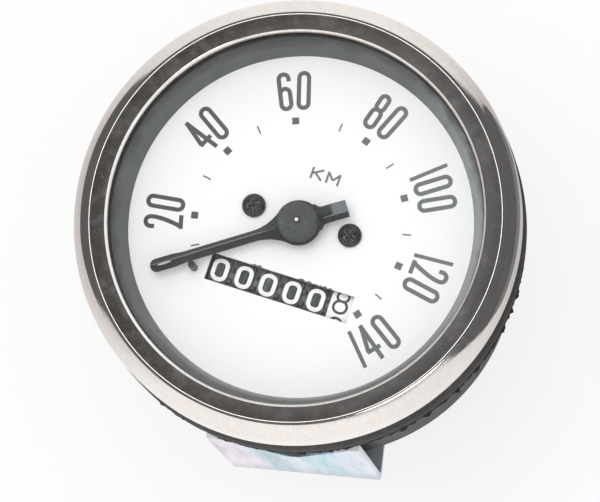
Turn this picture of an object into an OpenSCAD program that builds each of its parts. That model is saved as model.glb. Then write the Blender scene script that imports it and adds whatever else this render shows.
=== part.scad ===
// Round panel speedometer with a six-drum odometer, in millimetres.
// The origin is on the dial axis at the panel's front face. +Z points to the reader, +Y to the dial's top.

/* [Bezel and glass] */
// Outer diameter of the bezel
bezel_d = 86; // [80:0.5:100]
// Thickness of the bezel's sheet
bezel_sheet = 0.7; // [0.4:0.1:1]
// Width of the bezel's rounded edge outside its ridge
bezel_edge_w = 3.4; // [3:0.1:4]
// Width of the sloping band between the bezel's ridge and its opening
bezel_band_w = 3.5; // [2:0.1:4]
// Height of the straight part of the bezel's side
bezel_side_h = 3.4; // [2:0.1:4]
// Thickness of the glass
lens_t = 1.6; // [1:0.1:2.5]
// Gap between the edge of the glass and the bezel's skirt
lens_edge_gap = 3.5; // [3:0.1:4.2]
// Thickness of the seal under the glass
lens_gasket_t = 0.5; // [0.3:0.1:1]
// Height of the ring between the dial and the seal
spacer_h = 6.3; // [6:0.1:8]
// Width of the ring's sloping inside
spacer_slope_w = 2.6; // [2:0.1:3]
// Wall of the ring
spacer_wall = 0.8; // [0.6:0.1:1.2]

/* [Case] */
// Distance of the case's wall from the bezel's outer edge
case_inset = 4.5; // [4:0.1:4.7]
// Thickness of the case's sheet
case_sheet = 0.8; // [0.5:0.1:1]
// Radius between the wall and the back of the case
case_corner_r = 3; // [1:0.5:3]
// Height of the rubber ring on the panel
gasket_h = 8.6; // [7:0.1:10]
// How far the rubber ring stands out past the bezel
gasket_proud = 0.2; // [0:0.1:1]
// Angle of the lamp on the back
lamp_angle = 235; // [225:1:245]
// Gap between the lamp holder and the case's wall
lamp_edge = 3.5; // [3:0.1:4]
// Diameter of the lamp holder's body
lamp_d = 9.8; // [8:0.2:10]

/* [Dial] */
// Height of the dial's face above the panel
dial_z = 7; // [6.6:0.1:7.4]
// Thickness of the dial
dial_t = 0.8; // [0.5:0.1:1]
// Width of the odometer window
window_w = 29; // [28:0.1:29.2]
// Height of the odometer window
window_h = 5.4; // [4.6:0.1:6]
// Distance of each dial screw from the axis
dial_screw_x = 9.8; // [9:0.1:10.4]
// Height of the dial screws above the axis
dial_screw_y = 1; // [0:0.1:2]
// Diameter of the dial screws' heads
dial_screw_head_d = 4.6; // [3.6:0.1:5]
// Diameter of the pin that stops the pointer
stop_pin_d = 1.4; // [1:0.1:2]
// Distance of that pin from the pointer's tip
stop_pin_back = 7.8; // [5:0.1:9]

/* [Pointer] */
// Angle of the resting pointer, counted from +X
rest_angle = 214.5; // [212:0.5:218]
// Length of the pointer from the axis to its tip
pointer_len = 29.8; // [26:0.1:31]
// Length of the pointer's tail
pointer_tail = 9.8; // [8:0.1:11]
// Thickness of the pointer
pointer_t = 0.6; // [0.4:0.1:1]
// Diameter of the pointer's round base
pointer_base_d = 8.8; // [7:0.1:10]
// Diameter of the cap over the pointer
cap_d = 7.6; // [6:0.1:8]
// Height of the cap
cap_h = 2.7; // [2:0.1:2.8]
// Height of the pointer above the dial
pointer_lift = 2.6; // [2.2:0.1:2.8]
// Diameter of the pointer's arbor
arbor_d = 1; // [0.8:0.05:1.2]

/* [Odometer] */
// Diameter over the number bands
drum_d = 16.6; // [15:0.2:17]
// Distance from one drum to the next
drum_pitch = 4.9; // [4.8:0.05:5]
// Width of one number band
band_w = 3.5; // [3.3:0.05:3.5]
// Distance of the drums' axis below the pointer's axis
odometer_drop = 12.7; // [12.4:0.1:13.2]
// Gap between the dial and the drums
drum_gap = 0.4; // [0.3:0.1:1]
// Diameter of the drum shaft
drum_shaft_d = 2; // [1.6:0.1:2.4]
// Diameter of the pinion shaft
pinion_shaft_d = 1.6; // [1.2:0.1:1.8]
// Thickness of the odometer frame's sheet
odometer_sheet = 0.8; // [0.6:0.1:1]

/* [Eddy-current drive] */
// Diameter of the magnet
magnet_d = 19.6; // [18:0.2:20.4]
// Height of the magnet
magnet_h = 5.8; // [4:0.1:7]
// Wall of the aluminium speed cup
cup_wall = 0.5; // [0.3:0.05:0.7]
// Air gap on both sides of the speed cup's wall
air_gap = 0.8; // [0.5:0.05:1]
// Wall of the field cup
field_wall = 1.2; // [0.8:0.1:1.4]
// Diameter of the drive spindle
spindle_d = 3; // [2.6:0.1:3.4]

/* [Frame] */
// Distance of the frame's pillars from the axis
pillar_offset = 20; // [19.6:0.1:20.6]
// Diameter of the pillars
pillar_d = 4.4; // [4:0.1:5]
// Thickness of the frame's base
base_t = 1.6; // [1.2:0.1:2.5]
// Thickness of the frame's middle plate
middle_t = 1.2; // [1:0.1:2]
// Thickness of the upper bridge
bridge_t = 1; // [0.8:0.1:1.5]
// Diameter of the cable thread
cable_thread_d = 12; // [11:0.5:13]
// Length of the neck behind the case
neck_len = 18; // [16:0.5:24]

/* [Worm stages] */
// Diameter of the cross and riser shafts
gear_shaft_d = 2; // [1.6:0.1:2.2]
// Module of the stage from the spindle to the cross shaft
drive_module = 0.4; // [0.38:0.01:0.42]
// Module of the stage from the cross shaft to the riser
cross_module = 0.9; // [0.88:0.01:0.92]
// Module of the stage from the riser to the drums
riser_module = 0.5; // [0.48:0.01:0.52]
// Thickness of the worm wheels
wheel_t = 1.4; // [1:0.1:1.6]

/* [Bracket] */
// Width of the bracket's strap
bracket_w = 30; // [26:0.5:32]
// Thickness of the strap
bracket_t = 1.5; // [1:0.1:2]
// Gap between the case and the bracket's legs
bracket_gap = 1.5; // [1.2:0.1:2.5]
// Inner radius of the strap's two bends
bend_r = 1; // [0.5:0.1:2]
// Turn of the bracket from the dial's upright
bracket_angle = 12.5; // [10:0.5:20]
// Panel thickness that the legs clamp
panel_t = 2.1; // [1:0.1:3]
// Depth of the notch in each leg
notch_depth = 17; // [10:0.5:22]
// Distance of each stud from the axis
stud_offset = 17; // [16:0.1:18]
// Diameter of the studs
stud_d = 4; // [3:0.5:4]

/* [Hidden] */
$fn = 96;
// Clearances
fit = 0.02;
running = 0.05;
gap = 0.3;

// Panel, case and bezel
bezel_r = bezel_d/2;
flange_z = gasket_h + bezel_sheet;
case_r = bezel_r - case_inset;
flange_r = bezel_r - bezel_sheet - 0.4;
spacer_top = dial_z + spacer_h;
lens_z = spacer_top + lens_gasket_t;
lens_top = lens_z + lens_t;
lens_r = bezel_r - bezel_sheet - lens_edge_gap;
ridge_r = bezel_r - bezel_edge_w;
opening_r = ridge_r - bezel_band_w;
ridge_z = lens_top + bezel_sheet + 0.4;
side_top = gasket_h + bezel_side_h + 0.4;
dial_r = case_r - case_sheet - 0.4;
clinch_r = case_r + 1.7;
lamp_offset = case_r - case_sheet - lamp_edge - lamp_d/2;

// Odometer
drums = 6;
drum_r = drum_d/2;
drum_z = dial_z - dial_t - drum_gap - drum_r;
drum_x = [for (i = [0:drums - 1]) (i - (drums - 1)/2)*drum_pitch];
ring_w = 0.8;
lock_w = 0.5;
hub_len = drum_pitch - 0.1;
drum_rim = 2.3;
ring_teeth = 20;
pinion_teeth = 6;
ring_tip_r = drum_r - 0.1;
ring_pitch_r = ring_tip_r - 0.6;
ring_root_r = ring_pitch_r - 0.9;
ring_module = 2*ring_pitch_r/ring_teeth;
pinion_pitch_r = ring_module*pinion_teeth/2;
pinion_tip_r = pinion_pitch_r + 0.6;
pinion_dir = 200;
pinion_reach = ring_pitch_r + pinion_pitch_r;
lock_r = pinion_reach - pinion_tip_r - 0.18;
pinion_w = drum_pitch - band_w - 2*0.1;
pinion_y = -odometer_drop + pinion_reach*cos(pinion_dir);
pinion_z = drum_z + pinion_reach*sin(pinion_dir);
riser_worm_r = 2;
riser_worm_tip = riser_worm_r + 0.9*riser_module;
gear_x = drum_x[drums - 1] + band_w/2 + riser_worm_tip + gap;
plate_left = drum_x[0] - hub_len/2 - gap - odometer_sheet;
plate_right = gear_x + wheel_t/2 + 1;
odometer_top = drum_z - drum_r - 1;
odometer_z = odometer_top - odometer_sheet;
odometer_front = -8.4;
odometer_rear = -16.4;
odometer_screw_x = 10;
odometer_screw_y = -12.4;

// Worm stages: each has a worm of two starts and a wheel of twenty teeth
wheel_teeth = 20;
worm_starts = 2;
cross_worm_r = 2.8;
drive_wheel_r = drive_module*wheel_teeth/2;
cross_wheel_r = cross_module*wheel_teeth/2;
riser_wheel_r = riser_module*wheel_teeth/2;
riser_y = -odometer_drop + riser_wheel_r + riser_worm_r;
cross_y = riser_y + cross_wheel_r + cross_worm_r;
drive_worm_r = cross_y - drive_wheel_r;
drive_wheel_tip = drive_wheel_r + 0.9*drive_module;

// Levels from the bridge down to the back of the case
bridge_top = odometer_z;
bridge_z = bridge_top - bridge_t;
cup_hub_h = 1.1;
cup_top = bridge_z - 1 - cup_hub_h;
magnet_top = cup_top - cup_wall - air_gap;
magnet_z = magnet_top - magnet_h;
seat_t = 1;
field_t = 1;
field_floor = magnet_z - seat_t - gap;
field_z = field_floor - field_t;
middle_z = field_z - middle_t;
gear_z = middle_z - 0.65 - drive_wheel_tip;
base_top = gear_z - drive_wheel_tip - 0.65;
base_z = base_top - base_t;
back_z = base_z - case_sheet;
neck_end = back_z - neck_len;
thread_len = 11;
cup_r = magnet_d/2 + air_gap + cup_wall;
field_r = cup_r + air_gap + field_wall;
base_r = lamp_offset - lamp_d/2 - 0.4;
pillar_angles = [50, 130, 200, 290];

// Bearings of the gear shafts
cross_worm_len = 7;
post_t = 1.6;
post_w = 4.6;
post_x = [-5.8, 7, gear_x + cross_worm_len/2 + 0.6];
cross_start = post_x[0] - 0.6;
cross_end = post_x[2] + post_t + 0.6;
ear_z = drum_z + 4.9;
ear_h = 0.8;
tongue_h = 1.6;
riser_start = base_top - 1;
riser_end = ear_z + ear_h + 0.3;

// Neck and spindle
spindle_r = spindle_d/2;
bush_r = spindle_r + 2;
neck_root_r = 8;
worm_seat_r = 1;
drive_worm_len = 5.2;
riser_worm_len = 6;
socket_r = 2.8;
socket_square = 2.7;
socket_top = base_top - 13;
socket_end = neck_end + 1;
square_depth = 3.6;

// Screws of the dial, the bridge and the odometer
dial_screw_r = 1;
bridge_screw_r = 1;
odometer_screw_r = 0.8;
odometer_head_r = 1.6;
odometer_head_h = 0.4;
dial_screw_reach = 3.6;
bridge_screw_reach = 3;
screw_hole_gap = 0.1;
post_r = 2;

// Fasteners behind the case
washer_t = 0.8;
nut_t = 3.2;
nut_across = 7;
bracket_top_z = back_z - washer_t - nut_t;
bracket_z = bracket_top_z - bracket_t;
leg_r = case_r + bracket_gap;
stud_end = bracket_z - washer_t - nut_t - 2.4;

// Lamp
lamp_body_h = 9;
bulb_r = lamp_d/2 - 1.2;
bulb_foot = 2;

// Pointer
pointer_z = dial_z + pointer_lift;
blade_w = 2.2;
tail_w = 3.4;
arbor_r = arbor_d/2;
arbor_end = magnet_top - 1.5;
upper_bush_r = 2;
stop_pin_r = pointer_len - stop_pin_back;
stop_gap = 0.1;
stop_angle = rest_angle + asin((blade_w/2 + stop_pin_d/2 + stop_gap)/stop_pin_r);

// Hairspring
spring_turns = 6;
spring_in = 1.7;
spring_out = 6.2;
spring_t = 0.2;
spring_h = 0.6;
spring_z = bridge_top + 1.4;

// Helpers

// Points of an elliptical arc about [x, y]
function arc(x, y, rx, ry, from, to, n = 8) =
  [for (i = [0:n]) let (a = from + (to - from)*i/n) [x + rx*cos(a), y + ry*sin(a)]];

// Four corners of one gear tooth at angle a
function tooth(a, r0, r1, w0, w1) = [
  for (c = [[r0, -w0/r0], [r1, -w1/r1], [r1, w1/r1], [r0, w0/r0]])
    let (t = a + c[1]*90/PI) [c[0]*cos(t), c[0]*sin(t)]];

// A tube along Z with its foot at z
module tube(r_out, r_in, h, z = 0) {
  translate([0, 0, z]) difference() {
    cylinder(r = r_out, h = h);
    translate([0, 0, -1]) cylinder(r = r_in, h = h + 2);
  }
}

// Turns a part drawn along Z so that it lies along X at height y, z
module along_x(x, y, z) {
  translate([x, y, z]) rotate([0, 90, 0]) children();
}

// The bracket's own direction: children are drawn with the seen leg towards -Y
module bracket_turn() {
  rotate(bracket_angle) children();
}

module both_studs() {
  bracket_turn() for (s = [-1, 1]) translate([0, s*stud_offset, 0]) children();
}

module hex_nut(z) {
  difference() {
    translate([0, 0, z]) cylinder(d = nut_across/cos(30), h = nut_t, $fn = 6);
    translate([0, 0, z - 1]) cylinder(r = stud_d/2 + fit, h = nut_t + 2);
  }
}

// A wheel with a tooth gap towards -Y, centred on its own plane
module worm_wheel(m, bore_r) {
  r = m*wheel_teeth/2;
  pitch = PI*m;
  linear_extrude(height = wheel_t, center = true) difference() {
    polygon([for (i = [0:wheel_teeth - 1])
      each tooth(-90 + (i + 0.5)*360/wheel_teeth, r - 1.2*m, r + 0.9*m, 0.46*pitch, 0.2*pitch)]);
    circle(r = bore_r/cos(180/12), $fn = 12);
  }
}

// A worm with its crest towards -Y at mid height; hand is 1 for a right-hand thread
module worm(m, r, bore_r, len, hand) {
  lead = worm_starts*PI*m;
  turn = hand*360*len/lead;
  root = r - 1.2*m;
  tip = r + 0.9*m;
  rotate(-90 - turn/2)
    linear_extrude(height = len, center = true, twist = -turn, slices = ceil(14*len/lead), $fn = 24)
      difference() {
        polygon([for (s = [0:worm_starts - 1]) each [for (p = [[-34, root], [-20, tip], [0, tip],
          [20, tip], [34, root], [62, root], [90, root], [118, root]])
          let (a = p[0] + s*360/worm_starts) p[1]*[cos(a), sin(a)]]]);
        circle(r = bore_r/cos(180/12), $fn = 12);
      }
}

// Bezel, glass and case

module bezel() {
  inner = bezel_r - bezel_sheet;
  side_foot = gasket_h + bezel_sheet;
  color("silver") rotate_extrude() polygon(concat(
    [[clinch_r, gasket_h], [bezel_r - 0.4, gasket_h], [bezel_r, gasket_h + 0.4]],
    arc(ridge_r, side_top, bezel_r - ridge_r, ridge_z - side_top, 0, 90),
    [[opening_r + 0.5, ridge_z - 0.3], [opening_r, ridge_z - 0.6], [opening_r, lens_top],
     [opening_r + 1, lens_top]],
    arc(ridge_r, side_top, inner - ridge_r, ridge_z - bezel_sheet - side_top, 90, 0),
    [[inner, side_foot], [clinch_r, side_foot]]
  ));
}

module lens() {
  color("lightcyan", 0.3) translate([0, 0, lens_z]) cylinder(r = lens_r, h = lens_t);
}

module lens_gasket() {
  color("black") tube(lens_r, opening_r + 0.1, lens_gasket_t, spacer_top);
}

module spacer_ring() {
  foot_r = opening_r - spacer_slope_w;
  crown_r = opening_r - 0.2;
  color([0.1, 0.11, 0.11]) rotate_extrude() polygon([
    [foot_r, dial_z], [dial_r, dial_z], [dial_r, dial_z + spacer_wall],
    [foot_r + 1.4*spacer_wall, dial_z + spacer_wall], [crown_r + spacer_wall, spacer_top - spacer_wall],
    [lens_r, spacer_top - spacer_wall], [lens_r, spacer_top], [crown_r, spacer_top]
  ]);
}

module case() {
  inner = case_r - case_sheet;
  corner_in = case_corner_r - case_sheet;
  color([0.12, 0.12, 0.13]) difference() {
    rotate_extrude() polygon(concat(
      [[0, back_z]],
      arc(case_r - case_corner_r, back_z + case_corner_r, case_corner_r, case_corner_r, -90, 0),
      [[case_r, flange_z], [flange_r, flange_z], [flange_r, flange_z + case_sheet],
       [inner, flange_z + case_sheet]],
      arc(case_r - case_corner_r, back_z + case_corner_r, corner_in, corner_in, 0, -90),
      [[0, back_z + case_sheet]]
    ));
    translate([0, 0, back_z - 1]) cylinder(r = neck_root_r + 0.1, h = case_sheet + 2);
    both_studs() translate([0, 0, back_z - 1]) cylinder(r = stud_d/2 + 0.2, h = case_sheet + 2);
    lamp_place() translate([0, 0, -1]) cylinder(r = lamp_d/2 + fit, h = case_sheet + 2);
  }
}

module panel_gasket() {
  inner = case_r + running;
  outer = bezel_r + gasket_proud;
  bevel = 0.8;
  bead_h = 5;
  top_r = bezel_r - bevel;
  color([0.13, 0.13, 0.13]) rotate_extrude() polygon([
    [inner, 0], [outer - bevel, 0], [outer, bevel], [outer, bead_h], [top_r, gasket_h - bevel],
    [top_r, gasket_h], [inner, gasket_h]
  ]);
}

module lamp_place() {
  rotate(lamp_angle) translate([lamp_offset, 0, back_z]) children();
}

module lamp_holder() {
  collar_t = 1.2;
  tail_len = 6;
  color("gray") lamp_place() difference() {
    union() {
      cylinder(r = lamp_d/2, h = lamp_body_h);
      translate([0, 0, -collar_t]) cylinder(r = lamp_d/2 + 1.2, h = collar_t);
      translate([0, 0, -tail_len]) cylinder(r = lamp_d/2 - 1, h = tail_len - 1);
    }
    translate([0, 0, bulb_foot]) cylinder(r = bulb_r + fit, h = lamp_body_h);
  }
}

module lamp_bulb() {
  globe_z = lamp_body_h + 4;
  globe_r = bulb_r - 0.2;
  color("white", 0.5) lamp_place() rotate_extrude() polygon(concat(
    [[0, bulb_foot], [bulb_r, bulb_foot], [bulb_r, lamp_body_h], [globe_r, lamp_body_h + 0.6]],
    arc(0, globe_z, globe_r, globe_r, 0, 90)
  ));
}

// Bracket and its fasteners

module mounting_bracket() {
  hole_z = bracket_z - 1;
  leg_out = leg_r + bracket_t;
  bend_out = bend_r + bracket_t;
  bend_z = bracket_z + bend_out;
  color([0.75, 0.8, 0.85]) bracket_turn() difference() {
    rotate([90, 0, 90]) linear_extrude(height = bracket_w, center = true) polygon(concat(
      [[-leg_out, -panel_t]],
      arc(bend_out - leg_out, bend_z, bend_out, bend_out, 180, 270),
      arc(leg_out - bend_out, bend_z, bend_out, bend_out, 270, 360),
      [[leg_out, -panel_t], [leg_r, -panel_t]],
      arc(leg_r - bend_r, bend_z, bend_r, bend_r, 360, 270),
      arc(bend_r - leg_r, bend_z, bend_r, bend_r, 270, 180),
      [[-leg_r, -panel_t]]
    ));
    for (s = [0, 180]) rotate(s) leg_notch();
    translate([0, 0, hole_z]) cylinder(r = neck_root_r + 1, h = bracket_t + 2);
    for (s = [-1, 1]) translate([0, s*stud_offset, hole_z])
      cylinder(r = stud_d/2 + 0.25, h = bracket_t + 2);
  }
}

// The deep V between the two narrow tips of a leg
module leg_notch() {
  tip_w = 2;
  floor_w = 2;
  side = bracket_w/2 - tip_w;
  foot = -panel_t - notch_depth;
  translate([0, 1 - leg_r, 0]) rotate([90, 0, 0]) linear_extrude(height = bracket_t + 2) polygon([
    [-side, 0], [-side, -panel_t], [-floor_w/2, foot], [floor_w/2, foot], [side, -panel_t], [side, 0]
  ]);
}

module mounting_studs() {
  color("silver") both_studs() translate([0, 0, stud_end]) cylinder(r = stud_d/2, h = base_top - stud_end);
}

module case_washers() {
  color("silver") both_studs() tube(stud_d/2 + 2.5, stud_d/2 + 0.1, washer_t, back_z - washer_t);
}

module case_nuts() {
  color("silver") both_studs() hex_nut(bracket_top_z);
}

module bracket_washers() {
  color("silver") both_studs() tube(stud_d/2 + 1.8, stud_d/2 + 0.1, washer_t, bracket_z - washer_t);
}

module bracket_nuts() {
  color("silver") both_studs() hex_nut(bracket_z - washer_t - nut_t);
}

// Dial

module dial_plate() {
  color("white") difference() {
    translate([0, 0, dial_z - dial_t]) cylinder(r = dial_r, h = dial_t);
    translate([0, 0, dial_z - dial_t - 1]) {
      cylinder(r = upper_bush_r + 0.2, h = dial_t + 2);
      dial_screw_places() cylinder(r = dial_screw_r + screw_hole_gap, h = dial_t + 2);
      translate([-window_w/2, -odometer_drop - window_h/2, 0]) cube([window_w, window_h, dial_t + 2]);
      rotate(stop_angle) translate([stop_pin_r, 0, 0]) cylinder(r = stop_pin_d/2 + fit, h = dial_t + 2);
    }
  }
}

module dial_screw_places() {
  for (s = [-1, 1]) translate([s*dial_screw_x, dial_screw_y, 0]) children();
}

module dial_screws() {
  head_h = 1.4;
  crown_h = 0.4;
  recess = [2.6, 0.6, 1.4];
  color([0.12, 0.12, 0.13]) dial_screw_places() difference() {
    union() {
      translate([0, 0, dial_z]) cylinder(d = dial_screw_head_d, h = head_h - crown_h);
      translate([0, 0, dial_z + head_h - crown_h])
        cylinder(d1 = dial_screw_head_d, d2 = dial_screw_head_d - 1, h = crown_h);
      translate([0, 0, dial_z - dial_t - dial_screw_reach])
        cylinder(r = dial_screw_r, h = dial_t + dial_screw_reach + 0.4);
    }
    for (a = [30, 120]) translate([0, 0, dial_z + head_h]) rotate(a) cube(recess, center = true);
  }
}

module stop_pin() {
  color([0.12, 0.12, 0.13]) rotate(stop_angle) translate([stop_pin_r, 0, dial_z - dial_t])
    cylinder(r = stop_pin_d/2, h = dial_t + pointer_lift + pointer_t + 0.4);
}

module dial_posts() {
  color("gold") dial_screw_places() difference() {
    translate([0, 0, bridge_top]) cylinder(r = post_r, h = dial_z - dial_t - bridge_top);
    translate([0, 0, dial_z - dial_t - dial_screw_reach - 0.4])
      cylinder(r = dial_screw_r + fit, h = dial_screw_reach + 1);
  }
}

// Pointer, arbor and speed cup

module pointer() {
  end_w = 2.6;
  tip_len = 2.6;
  tip_w = 1.9;
  slot = [2.8, 0.44];
  waist = blade_w/2 - 0.1;
  color([0.13, 0.13, 0.13]) rotate(rest_angle) translate([0, 0, pointer_z])
    linear_extrude(height = pointer_t) difference() {
      union() {
        circle(d = pointer_base_d);
        polygon(concat(
          [[2, -2.6], [7.5, -1.3], [pointer_len*0.62, -waist], [pointer_len - 5, -end_w/2]],
          arc(pointer_len - tip_len, 0, tip_len, tip_w/2, -90, 90, 8),
          [[pointer_len - 5, end_w/2], [pointer_len*0.62, waist], [7.5, 1.3], [2, 2.6]]
        ));
        translate([-pointer_tail, -tail_w/2]) square([pointer_tail - pointer_base_d/3, tail_w]);
      }
      circle(r = arbor_r + fit);
      translate([pointer_len - 4, -slot[1]/2]) square(slot);
    }
}

module pointer_cap() {
  z = pointer_z + pointer_t;
  color([0.13, 0.13, 0.13]) rotate_extrude() polygon([
    [arbor_r + fit, z], [cap_d/2 + 0.2, z], [cap_d/2, z + cap_h - 0.5], [cap_d/2 - 0.5, z + cap_h],
    [arbor_r + fit, z + cap_h]
  ]);
}

module pointer_spindle() {
  top = pointer_z + pointer_t + cap_h + 0.3;
  color("gold") translate([0, 0, arbor_end]) cylinder(r = arbor_r, h = top - arbor_end);
}

module speed_cup() {
  skirt_z = magnet_z + 0.3;
  color([0.8, 0.8, 0.82]) difference() {
    union() {
      translate([0, 0, skirt_z]) cylinder(r = cup_r, h = cup_top - skirt_z);
      translate([0, 0, cup_top]) cylinder(r = upper_bush_r, h = cup_hub_h);
    }
    translate([0, 0, skirt_z - 1]) cylinder(r = cup_r - cup_wall, h = cup_top - skirt_z - cup_wall + 1);
    translate([0, 0, cup_top - 2]) cylinder(r = arbor_r + fit, h = 5);
  }
}

module spring_collet() {
  color("gold") tube(1.4, arbor_r + fit, 1.4, spring_z - 0.4);
}

module hairspring() {
  steps = 16;
  grow = (spring_out - spring_in)/(spring_turns*steps);
  function spiral(i, side) = let (a = 90 + i*360/steps, r = spring_in + i*grow + side*spring_t/2)
    [r*cos(a), r*sin(a)];
  color("gold") translate([0, 0, spring_z]) linear_extrude(height = spring_h) polygon(concat(
    [for (i = [0:spring_turns*steps]) spiral(i, -1)],
    [for (i = [spring_turns*steps:-1:0]) spiral(i, 1)]
  ));
}

module spring_lever() {
  t = 0.6;
  arm = spring_out + 1.6;
  arm_w = 1.6;
  stud_w = 1.2;
  stud_h = spring_z + spring_h - bridge_top;
  color("gold") difference() {
    union() {
      translate([0, 0, bridge_top]) cylinder(r = upper_bush_r + 1.2, h = t);
      translate([-arm_w/2, 0, bridge_top]) cube([arm_w, arm, t]);
      translate([-stud_w/2, spring_out + spring_t/2 + fit, bridge_top]) cube([stud_w, 1, stud_h]);
    }
    translate([0, 0, bridge_top - 1]) cylinder(r = upper_bush_r + fit, h = t + 2);
  }
}

// Movement frame

module pillars_at(z) {
  for (a = pillar_angles) rotate(a) translate([pillar_offset, 0, z]) children();
}

module movement_frame() {
  reach = 1;
  color([0.6, 0.6, 0.6]) difference() {
    union() {
      translate([0, 0, base_z]) cylinder(r = base_r, h = base_t);
      pillars_at(base_top - reach) cylinder(d = pillar_d, h = bridge_z - base_top + reach);
      translate([0, 0, middle_z]) cylinder(r = field_r + 1, h = middle_t);
      for (a = pillar_angles) rotate(a) translate([0, -2, middle_z]) cube([pillar_offset, 4, middle_t]);
      for (x = post_x) translate([x, cross_y - post_w/2, base_top - reach])
        cube([post_t, post_w, gear_z + 2.4 - base_top + reach]);
      translate([post_x[0], cross_y - post_w/2, base_z])
        cube([post_x[2] + post_t - post_x[0], post_w, base_t]);
      translate([0, 0, back_z - 2.5]) cylinder(r = neck_root_r, h = base_top - back_z + 2.5);
      translate([0, 0, neck_end + thread_len]) cylinder(d = cable_thread_d + 0.8, h = neck_len - thread_len);
      translate([0, 0, neck_end]) cylinder(d = cable_thread_d, h = thread_len + 1);
    }
    translate([0, 0, neck_end - 1]) cylinder(r = bush_r + fit, h = base_top - neck_end + 2);
    translate([0, 0, middle_z - 1]) cylinder(r = spindle_r + running, h = middle_t + 2);
    along_x(cross_start - 1, cross_y, gear_z)
      cylinder(r = gear_shaft_d/2 + running, h = cross_end - cross_start + 2);
    translate([gear_x, riser_y, riser_start - 0.1]) cylinder(r = gear_shaft_d/2 + running, h = 3);
    both_studs() translate([0, 0, base_z - 1]) cylinder(r = stud_d/2 + fit, h = base_t + 2);
    pillars_at(bridge_z - bridge_screw_reach - 1) cylinder(r = bridge_screw_r + fit, h = 6);
  }
}

module upper_bridge() {
  cut = bridge_t + 2;
  color("goldenrod") difference() {
    union() {
      translate([0, 0, bridge_z]) cylinder(r = field_r + 1, h = bridge_t);
      for (a = pillar_angles) rotate(a) translate([0, -3, bridge_z]) cube([pillar_offset, 6, bridge_t]);
      pillars_at(bridge_z) cylinder(r = 3, h = bridge_t);
      translate([plate_left, odometer_rear, bridge_z])
        cube([plate_right + odometer_sheet - plate_left, 14, bridge_t]);
    }
    translate([0, 0, bridge_z - 1]) cylinder(r = upper_bush_r + fit, h = cut);
    pillars_at(bridge_z - 1) cylinder(r = bridge_screw_r + screw_hole_gap, h = cut);
    translate([gear_x, riser_y, bridge_z - 1]) cylinder(r = gear_shaft_d/2 + running, h = cut);
    odometer_screw_places() translate([0, 0, bridge_z - 1]) cylinder(r = odometer_screw_r + fit, h = cut);
  }
}

module bridge_screws() {
  head_r = 1.9;
  head_h = 1.2;
  reach = bridge_t + bridge_screw_reach;
  color("silver") pillars_at(bridge_top) difference() {
    union() {
      cylinder(r = head_r, h = head_h);
      translate([0, 0, -reach]) cylinder(r = bridge_screw_r, h = reach + 0.5);
    }
    translate([0, 0, head_h]) cube([2*head_r + 1, 0.5, 1], center = true);
  }
}

module upper_bush() {
  color("gold") tube(upper_bush_r, arbor_r + running, bridge_t + 0.9, bridge_z - gap);
}

module field_cup() {
  top = cup_top + 0.4;
  color([0.5, 0.5, 0.52]) difference() {
    translate([0, 0, field_z]) cylinder(r = field_r, h = top - field_z);
    translate([0, 0, field_floor]) cylinder(r = field_r - field_wall, h = top - field_floor + 1);
    translate([0, 0, field_z - 1]) cylinder(r = spindle_r + 1.5, h = field_t + 2);
  }
}

module neck_bush() {
  foot = socket_top + gap;
  color([0.7, 0.45, 0.25]) tube(bush_r, spindle_r + running, base_top - foot, foot);
}

// Drive spindle

module drive_spindle() {
  tail = socket_end + square_depth + 0.1;
  seat_r = spindle_r + 2.5;
  worm_low = gear_z - drive_worm_len/2;
  worm_high = gear_z + drive_worm_len/2;
  color("silver") difference() {
    union() {
      translate([0, 0, tail]) cylinder(r = spindle_r, h = worm_low - tail);
      translate([0, 0, worm_low - 1]) cylinder(r = worm_seat_r, h = drive_worm_len + 2);
      translate([0, 0, worm_high]) cylinder(r = spindle_r, h = magnet_top - worm_high);
      translate([0, 0, magnet_z - seat_t]) cylinder(r = seat_r, h = seat_t);
    }
    translate([0, 0, arbor_end - gap]) cylinder(r = arbor_r + running, h = magnet_top - arbor_end + 1);
  }
}

module drive_socket() {
  color("silver") difference() {
    translate([0, 0, socket_end]) cylinder(r = socket_r, h = socket_top - socket_end);
    translate([-socket_square/2, -socket_square/2, socket_end - 1])
      cube([socket_square, socket_square, square_depth + 1]);
    translate([0, 0, socket_end + square_depth + 0.1])
      cylinder(r = spindle_r + fit, h = socket_top - socket_end);
  }
}

module magnet() {
  color([0.35, 0.35, 0.37]) tube(magnet_d/2, spindle_r + fit, magnet_h, magnet_z);
}

module drive_worm() {
  color("gold") translate([0, 0, gear_z]) rotate(180)
    worm(drive_module, drive_worm_r, worm_seat_r + fit, drive_worm_len, -1);
}

// Cross shaft and riser

module cross_shaft() {
  color("silver") along_x(cross_start, cross_y, gear_z)
    cylinder(d = gear_shaft_d, h = cross_end - cross_start);
}

module cross_wheel() {
  color("gold") translate([0, cross_y, gear_z]) rotate([0, 90, 0])
    worm_wheel(drive_module, gear_shaft_d/2 + fit);
}

module cross_worm() {
  color("gold") translate([gear_x, cross_y, gear_z]) rotate([0, 90, 0])
    worm(cross_module, cross_worm_r, gear_shaft_d/2 + fit, cross_worm_len, 1);
}

module riser_shaft() {
  color("silver") translate([gear_x, riser_y, riser_start])
    cylinder(d = gear_shaft_d, h = riser_end - riser_start);
}

module riser_wheel() {
  color("gold") translate([gear_x, riser_y, gear_z]) rotate(180)
    worm_wheel(cross_module, gear_shaft_d/2 + fit);
}

module riser_worm() {
  color("gold") translate([gear_x, riser_y, drum_z])
    worm(riser_module, riser_worm_r, gear_shaft_d/2 + fit, riser_worm_len, 1);
}

module drum_gear() {
  color("gold") translate([gear_x, -odometer_drop, drum_z]) rotate([180, 90, 0])
    worm_wheel(riser_module, drum_shaft_d/2 + running);
}

// Odometer

module odometer_screw_places() {
  for (s = [-1, 1]) translate([s*odometer_screw_x, odometer_screw_y, 0]) children();
}

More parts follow.
